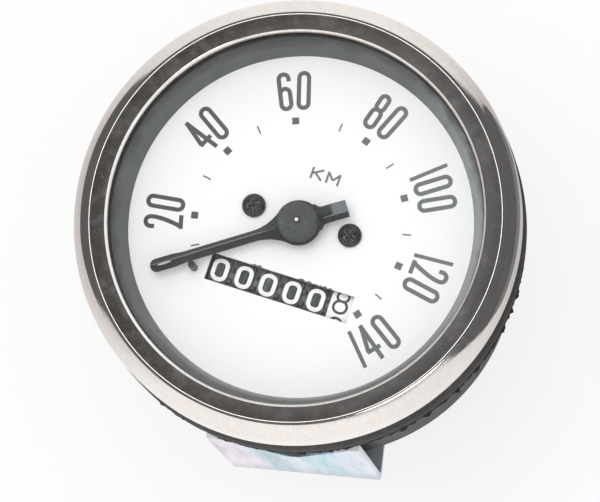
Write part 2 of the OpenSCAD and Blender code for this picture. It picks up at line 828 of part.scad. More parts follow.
module odometer_frame() {
  width = plate_right + odometer_sheet - plate_left;
  head_r = odometer_head_r + 0.1;
  color([0.7, 0.7, 0.7]) difference() {
    union() {
      translate([plate_left, odometer_rear, odometer_z])
        cube([width, odometer_front - odometer_rear, odometer_sheet]);
      side_plate(plate_left);
      side_plate(plate_right);
      translate([plate_right, -odometer_drop, ear_z])
        cube([odometer_sheet, odometer_drop + riser_y + 2, tongue_h]);
      translate([gear_x - 2, riser_y - 2.4, ear_z])
        cube([plate_right + odometer_sheet - gear_x + 2, 4.4, ear_h]);
    }
    along_x(plate_left - 1, -odometer_drop, drum_z) cylinder(r = drum_shaft_d/2 + fit, h = width + 2);
    along_x(plate_left - 1, pinion_y, pinion_z) cylinder(r = pinion_shaft_d/2 + fit, h = width + 2);
    translate([gear_x, riser_y, ear_z - 1]) cylinder(r = gear_shaft_d/2 + running, h = 3);
    odometer_screw_places() translate([0, 0, odometer_z - 1]) {
      cylinder(r = odometer_screw_r + screw_hole_gap, h = odometer_sheet + 2);
      translate([0, 0, 1 + odometer_sheet - odometer_head_h]) cylinder(r = head_r, h = 2);
    }
  }
}

// A side plate with an arm that carries the pinion shaft
module side_plate(x) {
  arm = pinion_shaft_d/2 + 1.4;
  cheek_w = 7;
  translate([x, 0, 0]) rotate([90, 0, 90]) linear_extrude(height = odometer_sheet) {
    translate([odometer_rear, odometer_z]) square([cheek_w, ear_z + tongue_h - odometer_z]);
    translate([pinion_y, pinion_z]) circle(r = arm);
    translate([pinion_y, pinion_z - arm]) square([odometer_rear - pinion_y + 1, 2*arm]);
  }
}

module odometer_screws() {
  color("silver") odometer_screw_places() {
    translate([0, 0, odometer_top - odometer_head_h]) cylinder(r = odometer_head_r, h = odometer_head_h);
    translate([0, 0, bridge_z]) cylinder(r = odometer_screw_r, h = odometer_top - bridge_z - 0.2);
  }
}

module drum_shaft() {
  color("silver") along_x(plate_left - 0.3, -odometer_drop, drum_z)
    cylinder(d = drum_shaft_d, h = plate_right + odometer_sheet - plate_left + 0.6);
}

module pinion_shaft() {
  color("silver") along_x(plate_left - 0.3, pinion_y, pinion_z)
    cylinder(d = pinion_shaft_d, h = plate_right + odometer_sheet - plate_left + 0.6);
}

// Drum i counts from the left. shown is its reading, which places the two carry teeth.
module drum(i, shown) {
  last = i == drums - 1;
  last_hub_len = gear_x - wheel_t/2 - drum_x[i] + hub_len/2;
  rim_r = drum_r - drum_rim;
  hub_r = 2.4;
  web_t = 1.2;
  carry = pinion_dir - 32 + 36*(shown == 0 ? 0 : 10 - shown);
  translate([drum_x[i], -odometer_drop, drum_z]) difference() {
    union() {
      rotate([0, 90, 0]) rotate_extrude() {
        translate([rim_r, -band_w/2]) square([drum_rim, band_w]);
        translate([0, -web_t/2]) square([drum_r - 1, web_t]);
        translate([0, -hub_len/2]) square([hub_r, last ? last_hub_len : hub_len]);
        if (i > 0) translate([rim_r, -band_w/2 - lock_w]) square([lock_r - rim_r, lock_w]);
      }
      if (i > 0) rotate([90, 0, 90]) translate([0, 0, -band_w/2 - lock_w])
        linear_extrude(height = lock_w + 0.2)
          for (a = [-9, 9]) polygon(tooth(carry + a, lock_r - 0.4, ring_tip_r, 0.9, 0.5));
      if (!last) rotate([90, 0, 90]) translate([0, 0, band_w/2 - 0.2]) linear_extrude(height = ring_w + 0.2)
        difference() {
          polygon([for (k = [0:ring_teeth - 1])
            each tooth(pinion_dir + (k + 0.5)*360/ring_teeth, ring_root_r, ring_tip_r, 1.1, 0.5)]);
          circle(r = rim_r);
        }
    }
    rotate([0, 90, 0]) cylinder(r = drum_shaft_d/2 + running, h = 4*drum_pitch, center = true);
  }
}

module ten_thousands_drum() {
  color([0.12, 0.12, 0.12]) drum(0, 0);
}

module thousands_drum() {
  color([0.12, 0.12, 0.12]) drum(1, 0);
}

module hundreds_drum() {
  color([0.12, 0.12, 0.12]) drum(2, 0);
}

module tens_drum() {
  color([0.12, 0.12, 0.12]) drum(3, 0);
}

module ones_drum() {
  color([0.12, 0.12, 0.12]) drum(4, 0);
}

module tenths_drum() {
  color("white") drum(5, 8.2);
}

// Pinion i stands between drum i - 1 and drum i
module carry_pinion(i) {
  x = drum_x[i - 1] + drum_pitch/2;
  color("gold") translate([x, pinion_y, pinion_z]) rotate([90, 0, 90])
    linear_extrude(height = pinion_w, center = true) difference() {
      polygon([for (k = [0:pinion_teeth - 1])
        each tooth(pinion_dir - 180 + k*360/pinion_teeth, 1.35, pinion_tip_r, 0.9, 0.4)]);
      circle(r = pinion_shaft_d/2 + running);
    }
}

bezel();
lens();
lens_gasket();
spacer_ring();
case();
panel_gasket();
mounting_bracket();
mounting_studs();
case_washers();
case_nuts();
bracket_washers();
bracket_nuts();
lamp_holder();
lamp_bulb();
dial_plate();
dial_screws();
stop_pin();
dial_posts();
pointer();
pointer_cap();
pointer_spindle();
speed_cup();
spring_collet();
hairspring();
spring_lever();
movement_frame();
upper_bridge();
bridge_screws();
upper_bush();
field_cup();
neck_bush();
drive_spindle();
drive_socket();
magnet();
drive_worm();
cross_shaft();
cross_wheel();
cross_worm();
riser_shaft();
riser_wheel();
riser_worm();
odometer_frame();
odometer_screws();
drum_shaft();
pinion_shaft();
drum_gear();
ten_thousands_drum();
thousands_drum();
hundreds_drum();
tens_drum();
ones_drum();
tenths_drum();
carry_pinion(1);  // carry_pinion_1
carry_pinion(2);  // carry_pinion_2
carry_pinion(3);  // carry_pinion_3
carry_pinion(4);  // carry_pinion_4
carry_pinion(5);  // carry_pinion_5
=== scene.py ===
# Panel speedometer with an odometer, dressed for the picture. The dictionaries hold millimetres and degrees.
import math
import random

import bmesh
import bpy
from mathutils import Matrix, Vector, noise


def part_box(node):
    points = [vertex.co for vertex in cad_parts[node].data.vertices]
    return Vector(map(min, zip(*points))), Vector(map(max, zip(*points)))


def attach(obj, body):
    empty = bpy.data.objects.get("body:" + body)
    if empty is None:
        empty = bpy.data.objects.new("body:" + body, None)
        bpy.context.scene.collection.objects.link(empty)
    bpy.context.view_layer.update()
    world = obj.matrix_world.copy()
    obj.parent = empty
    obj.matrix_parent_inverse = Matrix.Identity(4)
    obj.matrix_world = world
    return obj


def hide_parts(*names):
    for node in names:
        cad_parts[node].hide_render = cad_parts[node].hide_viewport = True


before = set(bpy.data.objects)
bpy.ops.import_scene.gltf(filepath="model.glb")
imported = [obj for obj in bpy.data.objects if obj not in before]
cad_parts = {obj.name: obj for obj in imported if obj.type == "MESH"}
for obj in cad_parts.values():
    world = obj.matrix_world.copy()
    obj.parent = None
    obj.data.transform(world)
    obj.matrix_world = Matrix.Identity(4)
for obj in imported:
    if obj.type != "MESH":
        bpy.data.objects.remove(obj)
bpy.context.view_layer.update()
random.seed(7)
mm = 0.001
turn = 2 * math.pi


def nodeBox(name):
    # lowest and highest corner of a CAD node, in millimetres
    low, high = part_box(name)
    return low / mm, high / mm


def towards(bearing):
    # the direction across the dial at a bearing in degrees
    return Vector((math.cos(math.radians(bearing)), math.sin(math.radians(bearing)), 0))


# sizes that the CAD already settles
dialZ = nodeBox("dial_plate")[1].z
lensLow, lensHigh = nodeBox("lens")
bezelLow, bezelHigh = nodeBox("bezel")
ringHigh = nodeBox("panel_gasket")[1]
floorZ = nodeBox("movement_frame")[0].z
bendLevel, legTop = (corner.z for corner in nodeBox("mounting_bracket"))


# Shapes that their finishes read as well

pointerShape = {"rest": 214.5, "tip": 29.8, "tail": 9.8, "tailHalf": 1.7, "base": 4.4, "blade": 1.05,
                "leaf": 1.27, "filletFrom": 3.2, "filletTo": 9.2, "filletPower": 2.2, "leafFrom": 22.5,
                "leafFull": 25.5, "tipRound": 1.3, "neck": 0.9, "neckFrom": 5.2, "neckLong": 1.2,
                "neckLap": 0.4, "slotFrom": 25.4, "slotTo": 28.5, "slotHalf": 0.27, "thick": 0.45,
                "ridge": 0.26, "ridgeFrom": 5.5, "ridgeFull": 9, "tailRidgeFrom": 4.2, "tailRidgeFull": 5.5,
                "tailRidgeSide": 0.35, "tailBend": 0.35, "tailBendFrom": 7.4, "columns": 320, "rows": 8}

screwShape = {"places": (-9.8, 9.8), "y": 1.0, "head": 2.3, "rim": 0.55, "dome": 0.85, "arm": 1.25,
              "armHalf": 0.32, "deep": 0.9, "armRise": 0.45, "turns": (28, 61), "shank": 1.2, "rings": 26,
              "steps": 96}


# Shader maths

class Wire:
    # wraps a socket, so that sums on values can be written as they are read
    def __init__(self, tree, socket=None):
        self.tree = tree
        self.socket = socket

    def node(self, kind, settings=None, inputs=None, output=0):
        made = self.tree.nodes.new(kind)
        for name, value in (settings or {}).items():
            if name == "stops":
                ramp = made.color_ramp
                while len(ramp.elements) < len(value):
                    ramp.elements.new(1)
                for element, (position, colour) in zip(ramp.elements, value):
                    element.position = position
                    element.color = (*colour, 1) if isinstance(colour, tuple) else (colour, colour, colour, 1)
            else:
                setattr(made, name, value)
        for name, value in (inputs or {}).items():
            if isinstance(value, Wire):
                self.tree.links.new(value.socket, made.inputs[name])
            else:
                made.inputs[name].default_value = value
        return Wire(self.tree, made.outputs[output] if made.outputs else None)

    def math(self, operation, first, second=0.0):
        return self.node("ShaderNodeMath", {"operation": operation}, {0: first, 1: second})

    def __add__(self, other):
        return self.math("ADD", self, other)

    __radd__ = __add__

    def __sub__(self, other):
        return self.math("SUBTRACT", self, other)

    def __rsub__(self, other):
        return self.math("SUBTRACT", other, self)

    def __mul__(self, other):
        return self.math("MULTIPLY", self, other)

    __rmul__ = __mul__

    def __truediv__(self, other):
        return self.math("DIVIDE", self, other)

    def __pow__(self, other):
        return self.math("POWER", self, other)

    def __gt__(self, other):
        return self.math("GREATER_THAN", self, other)

    def __lt__(self, other):
        return self.math("LESS_THAN", self, other)

    def __abs__(self):
        return self.math("ABSOLUTE", self)


def newMaterial(name):
    # a material, the start of its nodes and a point in the object's own coordinates, in millimetres
    material = bpy.data.materials.new(name)
    material.use_nodes = True
    material.node_tree.nodes.clear()
    start = Wire(material.node_tree)
    place = start.node("ShaderNodeTexCoord", output="Object")
    return material, start, start.node("ShaderNodeMapping", None, {"Vector": place, "Scale": (1 / mm,) * 3})


def partsOf(vector):
    return [vector.node("ShaderNodeSeparateXYZ", None, {0: vector}, k) for k in range(3)]


def radiusOf(x, y):
    return (x * x + y * y) ** 0.5


def bearingOf(x, y):
    return x.math("ARCTAN2", y, x) * math.degrees(1)


def reach(x, y, direction):
    # how far a place lies in one direction across the dial
    return x * direction.x + y * direction.y


def noiseOn(point, scale, detail=3.0, rough=0.5, stretch=(1, 1, 1)):
    if stretch != (1, 1, 1):
        point = point.node("ShaderNodeMapping", None, {"Vector": point, "Scale": stretch})
    return point.node("ShaderNodeTexNoise", None, {"Vector": point, "Scale": scale, "Detail": detail,
                                                    "Roughness": rough})


def ramp(value, *stops):
    return value.node("ShaderNodeValToRGB", {"stops": stops}, {0: value})


def level(value, low, high, toLow=0.0, toHigh=1.0):
    # goes from toLow to toHigh while the value goes from low to high, and stays level outside them
    return value.node("ShaderNodeMapRange", None, {0: value, 1: low, 2: high, 3: toLow, 4: toHigh})


def tint(mask, below, above):
    # colours join through a Mix node, because a Math node would turn them grey
    below, above = (c if isinstance(c, Wire) else (*c, 1) for c in (below, above))
    # this node has sockets of one name for each kind of value: those for colours are 6 and 7, and 2 comes out
    return mask.node("ShaderNodeMix", {"data_type": "RGBA"}, {0: mask, 6: below, 7: above}, 2)


def surface(material, start, colour, rough=0.5, metallic=0.0, bump=None, **more):
    inputs = {"Base Color": colour if isinstance(colour, Wire) else (*colour, 1),
              "Roughness": rough, "Metallic": metallic}
    inputs.update({name.replace("_", " "): value for name, value in more.items()})
    if bump:
        height, strength, distance = bump
        inputs["Normal"] = start.node("ShaderNodeBump", None, {
            "Height": height, "Strength": strength, "Distance": distance * mm})
    shader = start.node("ShaderNodeBsdfPrincipled", None, inputs)
    start.node("ShaderNodeOutputMaterial", None, {0: shader})
    return material


# Camera, light and floor

camera = {"azimuth": -39.54, "elevation": 77.08, "roll": -32.27, "distance": 769.5, "slide": (-0.053, -4.866),
          "lens": 240, "clip": (10, 20000)}

# what the lamp gives, then what only polished metal sees: a dark room, two small lamps and a bright table,
# whose height in degrees and brightness are given at some bearings
studio = {"ambient": 0.80, "lampWatts": 5.2, "lampSize": 900, "lampPlace": (-150, 60, 1100),
          "dark": (0.104, 0.105, 0.108), "ceiling": (0.118, 0.121, 0.125), "ceilingFrom": (0.87, 0.91),
          "darkAbove": (0.074, 0.073, 0.070), "above": (-0.03, 0.17, 0.98), "aboveSpread": (15, 7),
          "cloud": (0.2, 0.19, 0.18), "cloudShare": 0.35, "nearSpot": (6.5, 5.0), "farSpot": (3.9, 3.3),
          "tableDim": (0.02, 0, 0), "tableBright": (1.0, 0.985, 0.97), "tableEdge": (-1.5, 2.5),
          "tableRag": 4,
          "tableTop": ((-180, 28), (-170, 28), (-153, 51), (-120, 64), (-88, 66), (-17, 66), (-8, 5),
                       (2, -38), (48, -44), (61, 0), (66, 45), (78, 50), (96, 53), (111, 53), (128, 50),
                       (144, 46), (156, 32), (168, 25), (180, 28)),
          "tableLight": ((-180, 0.58), (-155, 0.66), (-125, 0.97), (-60, 1.0), (-20, 0.85), (15, 0.50),
                         (60, 0.50), (80, 0.82), (100, 0.94), (125, 0.92), (145, 0.80), (165, 0.62),
                         (180, 0.58))}

floorPaper = {"half": 3000, "under": 0.05, "colour": (0.9, 0.89, 0.885), "glow": 0.78, "mirror": 0.88}


def viewAxes():
    az, el, roll = (math.radians(camera[k]) for k in ("azimuth", "elevation", "roll"))
    back = Vector((math.cos(el) * math.cos(az), math.cos(el) * math.sin(az), math.sin(el)))
    up = Vector((-math.sin(el) * math.cos(az), -math.sin(el) * math.sin(az), math.cos(el)))
    right = up.cross(back)
    return (math.cos(roll) * right + math.sin(roll) * up, -math.sin(roll) * right + math.cos(roll) * up, back)


def placeCamera():
    across, upward, back = viewAxes()
    data = bpy.data.cameras.new("camera")
    data.lens = camera["lens"]
    data.clip_start, data.clip_end = (far * mm for far in camera["clip"])
    seen = bpy.data.objects.new("camera", data)
    bpy.context.scene.collection.objects.link(seen)
    slideX, slideY = camera["slide"]
    place = Vector((0, 0, dialZ)) + back * camera["distance"] + across * slideX + upward * slideY
    seen.matrix_world = Matrix.Translation(place * mm) @ Matrix((across, upward, back)).transposed().to_4x4()
    bpy.context.scene.camera = seen


def bearingRamp(bearing, stops, low=0.0, high=1.0):
    # a number from low to high that changes with the bearing, given at some bearings
    marks = [((at + 180) / 360, (value - low) / (high - low)) for at, value in stops]
    return ramp(level(bearing, -180, 180), *marks) * (high - low) + low


def tableOver(behind, bearing, rise):
    # the bright table round the object hides what is behind it up to a height that changes with the bearing
    light = bearingRamp(bearing, studio["tableLight"])
    edge = bearingRamp(bearing, studio["tableTop"], -90, 90)
    table = tint(light, studio["tableDim"], studio["tableBright"])
    return tint(level(edge - rise, *studio["tableEdge"]), behind, table)


def lightStudio():
    # polished metal sees a dark room above and a bright table below, and everything else a plain white room
    world = bpy.data.worlds.new("studio")
    world.use_nodes = True
    world.node_tree.nodes.clear()
    start = Wire(world.node_tree)
    direction = start.node("ShaderNodeTexCoord", output="Generated")
    x, y, z = partsOf(direction)
    rise = start.math("ARCSINE", z) * math.degrees(1)
    cloud = noiseOn(direction, 5.0, 4.0, 0.6)
    above = Vector(studio["above"]).normalized()
    rim, core = (math.cos(math.radians(spread)) for spread in studio["aboveSpread"])
    room = tint(level(z, *studio["ceilingFrom"]), studio["dark"], studio["ceiling"])
    room = tint(level(reach(x, y, above) + z * above.z, rim, core), room, studio["darkAbove"])
    room = tint(level(cloud, 0.5, 0.8) * studio["cloudShare"], room, studio["cloud"])
    room = tableOver(room, bearingOf(x, y), rise - (cloud - 0.5) * studio["tableRag"])
    back = viewAxes()[2]
    for side, (width, strength) in ((-1, studio["farSpot"]), (1, studio["nearSpot"])):
        # one small lamp stands by the camera and one opposite, for the fine lines along edges
        wide = math.cos(math.radians(width))
        facing = reach(x, y, back * side) + z * back.z
        room = tint(level(facing, wide, wide + 0.003), room, (strength,) * 3)
    glossy = start.node("ShaderNodeLightPath", output="Is Glossy Ray")
    seen = start.node("ShaderNodeLightPath", output="Is Camera Ray")
    plain = tint(glossy, (studio["ambient"],) * 3, room)
    shader = start.node("ShaderNodeBackground", None, {0: tint(seen, plain, (1, 1, 1))})
    start.node("ShaderNodeOutputWorld", None, {0: shader})
    bpy.context.scene.world = world

    lamp = bpy.data.lights.new("lamp", "AREA")
    lamp.shape, lamp.size, lamp.energy = "DISK", studio["lampSize"] * mm, studio["lampWatts"]
    hung = bpy.data.objects.new("lamp", lamp)
    place = Vector(studio["lampPlace"]) * mm
    hung.matrix_world = Matrix.Translation(place) @ place.to_track_quat("Z", "Y").to_matrix().to_4x4()
    hung.visible_glossy = False
    bpy.context.scene.collection.objects.link(hung)


def layFloor():
    # white paper to the camera, a table to polished metal, and it keeps the object's shadow
    s = floorPaper
    bm = bmesh.new()
    bmesh.ops.create_grid(bm, x_segments=1, y_segments=1, size=s["half"] * mm)
    bmesh.ops.translate(bm, vec=(0, 0, (floorZ - s["under"]) * mm), verts=bm.verts)
    mesh = bpy.data.meshes.new("floor")
    bm.to_mesh(mesh)
    bm.free()
    material, start, point = newMaterial("floor_paper")
    x, y = partsOf(point)[:2]
    # how far below the bezel's edge a place on the floor lies, seen from there
    away = radiusOf(x, y) - bezelHigh.x
    rise = start.math("ARCTAN2", floorZ - bezelLow.z, away) * math.degrees(1)
    mirrored = tableOver(studio["dark"], bearingOf(x, y), rise)
    seen = start.node("ShaderNodeLightPath", output="Is Camera Ray")
    glossy = start.node("ShaderNodeLightPath", output="Is Glossy Ray")
    paper = start.node("ShaderNodeBsdfDiffuse", None, {0: (*s["colour"], 1)})
    glow = start.node("ShaderNodeEmission", None, {0: tint(glossy, (1, 1, 1), mirrored)})
    share = seen * s["glow"] + glossy * s["mirror"]
    mixed = start.node("ShaderNodeMixShader", None, {0: share, 1: paper, 2: glow})
    start.node("ShaderNodeOutputMaterial", None, {0: mixed})
    mesh.materials.append(material)
    floor = bpy.data.objects.new("floor", mesh)
    bpy.context.scene.collection.objects.link(floor)


bpy.context.scene.view_settings.view_transform = "Standard"
placeCamera()
lightStudio()
layFloor()
print("camera, light and floor are in place")


# Finishes

# where the wear and the painted light and shade lie, from nothing to full, as radii or distances from the
# dial's axis
chromeWearAndShade = {"plate": (0.92, 0.89, 0.87), "peach": (0.93, 0.82, 0.76), "film": (0.50, 0.42, 0.35),
              "pit": (0.34, 0.25, 0.19), "lipHighlight": (0.99, 0.98, 0.97), "smear": (0.62, 0.65, 0.68),
              "crest": (0.42, 0.37, 0.33), "wallShade": (0.13, 0.11, 0.095), "wallBrown": (0.52, 0.30, 0.20),
              "bandRadius": 37.9, "bandEdge": (1.6, 1.3), "smearRadius": 38.1, "smearEdge": (1.7, 1.2),
              "crestEdge": (37.2, 39.3), "lipEdge": (36.72, 36.62), "lipHighlightSide": -158,
              "wallEdge": (36.24, 36.14)}


def chromeFinish():
    # worn chrome: peach tints and fine pits all over, and a brown film, laid thicker on the sloping band as
    # painted reflection
    s = chromeWearAndShade
    material, start, point = newMaterial("worn_chrome")
    x, y = partsOf(point)[:2]
    radius = radiusOf(x, y)
    film = noiseOn(point, 0.9, 5.0, 0.65)
    specks = noiseOn(point, 4.2, 3.0, 0.6)
    band = level(abs(radius - s["bandRadius"]), *s["bandEdge"])
    peach = level(noiseOn(point, 0.7, 4.0, 0.6), 0.48, 0.66)
    colour = tint(peach * 0.5, s["plate"], s["peach"])
    # the brown film, laid thicker on the sloping band, where it darkens the band as a painted reflection of a
    # dark room
    filmAndBandReflection = level(film, 0.42, 0.75) * (band * 0.6 + 0.2)
    colour = tint(filmAndBandReflection * 0.6, colour, s["film"])
    pits = level(specks, 0.62, 0.72)
    colour = tint(pits * 0.55, colour, s["pit"])
    # painted highlight: the lip over the glass is pale and dull on one side
    onSide = level(reach(x, y, towards(s["lipHighlightSide"])) / radius, 0.45, 0.8)
    rubbed = level(radius, *s["lipEdge"]) * onSide
    colour = tint(rubbed, colour, s["lipHighlight"])
    # dull smears on the band, which is painted darker towards the crest as a reflection, and brown specks on
    # the wall inside the lip
    smear = level(noiseOn(point, 0.28, 5.0, 0.65), 0.48, 0.74)
    smear = smear * level(abs(radius - s["smearRadius"]), *s["smearEdge"])
    colour = tint(smear * 0.3, colour, s["smear"])
    # painted reflection: the band darkens towards the crest
    colour = tint(level(radius, *s["crestEdge"]) * band * 0.5, colour, s["crest"])
    # painted shade: the wall inside the lip is dark and not metal, with brown specks
    wall = level(radius, *s["wallEdge"])
    colour = tint(wall, colour, tint(level(specks, 0.52, 0.60), s["wallShade"], s["wallBrown"]))
    metallic = 1 - filmAndBandReflection * 0.05 - pits * 0.08 - rubbed * 0.8 - smear * 0.09 - wall * (1 - rubbed) * 0.75
    rough = level(rubbed, 0, 1, level(film, 0.3, 0.8, 0.05, 0.14), 0.4)
    return surface(material, start, colour, rough, metallic, (noiseOn(point, 1.6, 4.0), 0.05, 0.05))


smearedGlass = {"tint": (0.93, 0.96, 0.97), "pale": (0.97, 0.98, 0.98), "alpha": (0.008, 0.018)}


def glassFinish(name):
    # nearly clear glass with a trace of smears
    s = smearedGlass
    material, start, point = newMaterial(name)
    smear = noiseOn(point, 0.12, 3.0)
    return surface(material, start, tint(smear, s["tint"], s["pale"]), 0.03, 0.0, None,
                   Alpha=level(smear, 0.3, 0.8, *s["alpha"]))


def rubberFinish(name, colour):
    # moulded rubber with a fine grain and patches of dust
    material, start, point = newMaterial(name)
    grain = noiseOn(point, 2.2, 5.0, 0.6)
    dust = noiseOn(point, 0.3, 4.0)
    pale = tuple(c * 2.2 + 0.02 for c in colour)
    return surface(material, start, tint(level(dust, 0.5, 0.85) * 0.6, colour, pale),
                   level(grain, 0.3, 0.7, 0.55, 0.8), 0.0, (grain, 0.5, 0.12))


def paintFinish(name, colour, rough=0.45, speck=0.25, peel=0.35, lift=1.7, fine=7.0):
    # sprayed paint: a little orange peel, fine pale specks and worn patches
    material, start, point = newMaterial(name)
    mist = noiseOn(point, fine, 3.0, 0.6)
    worn = noiseOn(point, 0.25, 4.0)
    pale = tuple(c * lift + 0.015 for c in colour)
    mask = level(mist, 0.52, 0.72) * speck + level(worn, 0.5, 0.8) * 0.3
    return surface(material, start, tint(mask, colour, pale), level(worn, 0.3, 0.8, rough, rough + 0.12), 0.0,
                   (mist, peel, 0.04))


# the pointer's paint, with painted shade on one side of the blade and painted highlights along the ridge,
# over the tail's end and along an edge of the tail
pointerPaintAndSheen = {"shade": (0.014, 0.017, 0.017), "paint": (0.036, 0.041, 0.041), "ridge": (0.33, 0.34, 0.34),
               "tail": (0.165, 0.178, 0.195), "edge": (0.22, 0.23, 0.235), "mist": (0.09, 0.10, 0.10),
               "shadeEdge": (0.1, 0.3), "ridgeAt": 0.26, "ridgeHalf": (0.11, 0.04), "ridgeFrom": (4.5, 8),
               "tailFrom": (-6.6, -7.2), "tailSide": (-0.62, -0.50), "edgeAt": -0.56,
               "edgeHalf": (0.12, 0.05), "edgeFrom": (-4.8, -5.2)}


def pointerFinish():
    # black paint, with painted highlights along the ridge and over the end of the tail, and painted shade on
    # one side of the blade
    s = pointerPaintAndSheen
    material, start, point = newMaterial("pointer_paint")
    x, y = partsOf(point)[:2]
    along = reach(x, y, towards(pointerShape["rest"]))
    across = reach(x, y, towards(pointerShape["rest"] - 90))
    mist = noiseOn(point, 4.0, 3.0, 0.6)
    # painted shade: one side of the blade is darker
    colour = tint(level(across, *s["shadeEdge"]), s["shade"], s["paint"])
    # painted highlight: a pale line along the ridge
    ridge = level(abs(across - s["ridgeAt"]), *s["ridgeHalf"]) * level(along, *s["ridgeFrom"])
    colour = tint(ridge * level(mist, 0.32, 0.45) * 0.8, colour, s["ridge"])
    # painted highlight: the end of the tail is pale
    tail = level(along, *s["tailFrom"]) * level(across, *s["tailSide"])
    colour = tint(tail * 0.9, colour, s["tail"])
    # painted highlight: a pale line along one edge of the tail
    edge = level(abs(across - s["edgeAt"]), *s["edgeHalf"]) * level(along, *s["edgeFrom"])
    colour = tint(edge * 0.8, colour, s["edge"])
    return surface(material, start, tint(level(mist, 0.55, 0.75) * 0.3, colour, s["mist"]),
                   level(mist, 0.3, 0.7, 0.42, 0.56), 0.0, (mist, 0.3, 0.04))


screwOxideAndGlints = {"oxide": (0.016, 0.019, 0.019), "grey": (0.05, 0.055, 0.055), "glint": (0.92, 0.94, 0.95),
             "steep": (0.90, 0.66), "recess": (1.6, 1.45), "litSide": -55, "litEdge": (-0.5, 0.5),
             "unlit": 0.4}


def screwFinish():
    # black oxide, with painted glints of bright metal colour on the steep walls of the recess, more on one
    # side
    s = screwOxideAndGlints
    material, start, point = newMaterial("screw_black")
    x, y = partsOf(point)[:2]
    # measured from the nearer screw
    right = screwShape["places"][1]
    fromX = x - (2 * (x > 0) - 1) * right
    fromY = y - screwShape["y"]
    lit = level(reach(fromX, fromY, towards(s["litSide"])), *s["litEdge"], s["unlit"], 1)
    tilt = partsOf(start.node("ShaderNodeNewGeometry", output="Normal"))[2]
    grain = noiseOn(point, 2.2, 3.0, 0.6)
    recess = level(radiusOf(fromX, fromY), *s["recess"])
    # painted glint: the steep walls of the recess are bright on the lit side
    worn = level(tilt, *s["steep"]) * recess * level(grain, 0.36, 0.46) * lit
    colour = tint(level(grain, 0.5, 0.7) * 0.4, s["oxide"], s["grey"])
    return surface(material, start, tint(worn, colour, s["glint"]), level(grain, 0.3, 0.7, 0.2, 0.34),
                   worn * 0.25, (grain, 0.15, 0.03))


tipHighlight = {"bright": (1.0, 0.97, 0.92), "dull": (0.16, 0.15, 0.13), "rimEdge": (0.30, 0.40)}


def tipFinish():
    # end of the arbor: a painted highlight in its middle, darker and duller round its edge
    s = tipHighlight
    material, start, point = newMaterial("arbor_steel")
    x, y = partsOf(point)[:2]
    grain = noiseOn(point, 3.0, 3.0)
    rim = level(radiusOf(x, y) + (grain - 0.5) * 0.2, *s["rimEdge"])
    colour = tint(rim, s["bright"], s["dull"])
    return surface(material, start, colour, level(grain, 0.3, 0.7, 0.3, 0.4), level(rim, 0, 1, 0.1, 1),
                   (grain, 0.1, 0.02))


spacerPaintLightAndShade = {"top": (0.040, 0.041, 0.040), "face": (0.112, 0.120, 0.122), "bright": (0.27, 0.29, 0.30),
              "foot": (0.24, 0.25, 0.255), "dust": (0.07, 0.075, 0.076), "marks": (0.02, 0.022, 0.024),
              "faceEdge": (36.0, 34.8), "brightSide": 12, "brightFrom": (18, 32), "nearSide": -72,
              "nearFrom": (16, 30), "footEdge": (34.9, 33.9), "nearShade": 0.75}


def spacerFinish():
    # the tapered ring: matt paint with turning marks round it, with painted shade at its upper edge and
    # painted light on one side
    s = spacerPaintLightAndShade
    material, start, point = newMaterial("spacer_paint")
    x, y, z = partsOf(point)
    radius = radiusOf(x, y)
    marks = noiseOn(start.node("ShaderNodeCombineXYZ", None, {0: radius, 2: z}), 3.0, 2.0)
    worn = noiseOn(point, 0.22, 4.0)
    # painted highlight: the face is paler towards one side
    pale = tint(level(reach(x, y, towards(s["brightSide"])), *s["brightFrom"]), s["face"], s["bright"])
    # on the near side its foot catches the light of the dial, and its upper edge lies in shade
    near = level(reach(x, y, towards(s["nearSide"])), *s["nearFrom"])
    foot = level(radius, *s["footEdge"])
    pale = tint(near * foot, pale, s["foot"])
    # painted shade: the face darkens in patches towards its upper edge
    face = level(radius + (worn - 0.5) * 2.4, *s["faceEdge"]) * (1 - near * (1 - foot) * s["nearShade"])
    colour = tint(face, s["top"], pale)
    colour = tint(level(worn, 0.52, 0.75) * 0.4, colour, s["dust"])
    colour = tint(level(marks, 0.62, 0.74) * 0.5, colour, s["marks"])
    return surface(material, start, colour, level(marks, 0.3, 0.7, 0.40, 0.56), 0.0, (marks, 0.25, 0.05),
                   Specular_IOR_Level=0.35)


# the film's colours across the strap, then how far above the bend the painted shade goes and how far below
# the legs' ends the painted highlight goes
zincFilmLightAndShade = {"turned": 12.5, "half": 15, "wander": 20,
            "film": ((0.0, (0.92, 0.88, 0.95)), (0.16, (0.92, 0.80, 0.96)), (0.30, (0.60, 0.84, 0.96)),
                     (0.42, (0.52, 0.74, 0.82)), (0.56, (0.84, 0.88, 0.98)), (0.70, (0.52, 0.84, 0.95)),
                     (0.86, (0.74, 0.84, 1.0)), (1.0, (0.86, 0.94, 1.0))),
            "blot": (0.36, 0.44, 0.48), "dull": (0.34, 0.42, 0.44), "shearedHighlight": (0.97, 0.97, 0.98),
            "dullEdge": (12, 1), "shearedEdge": (-0.4, -0.2)}


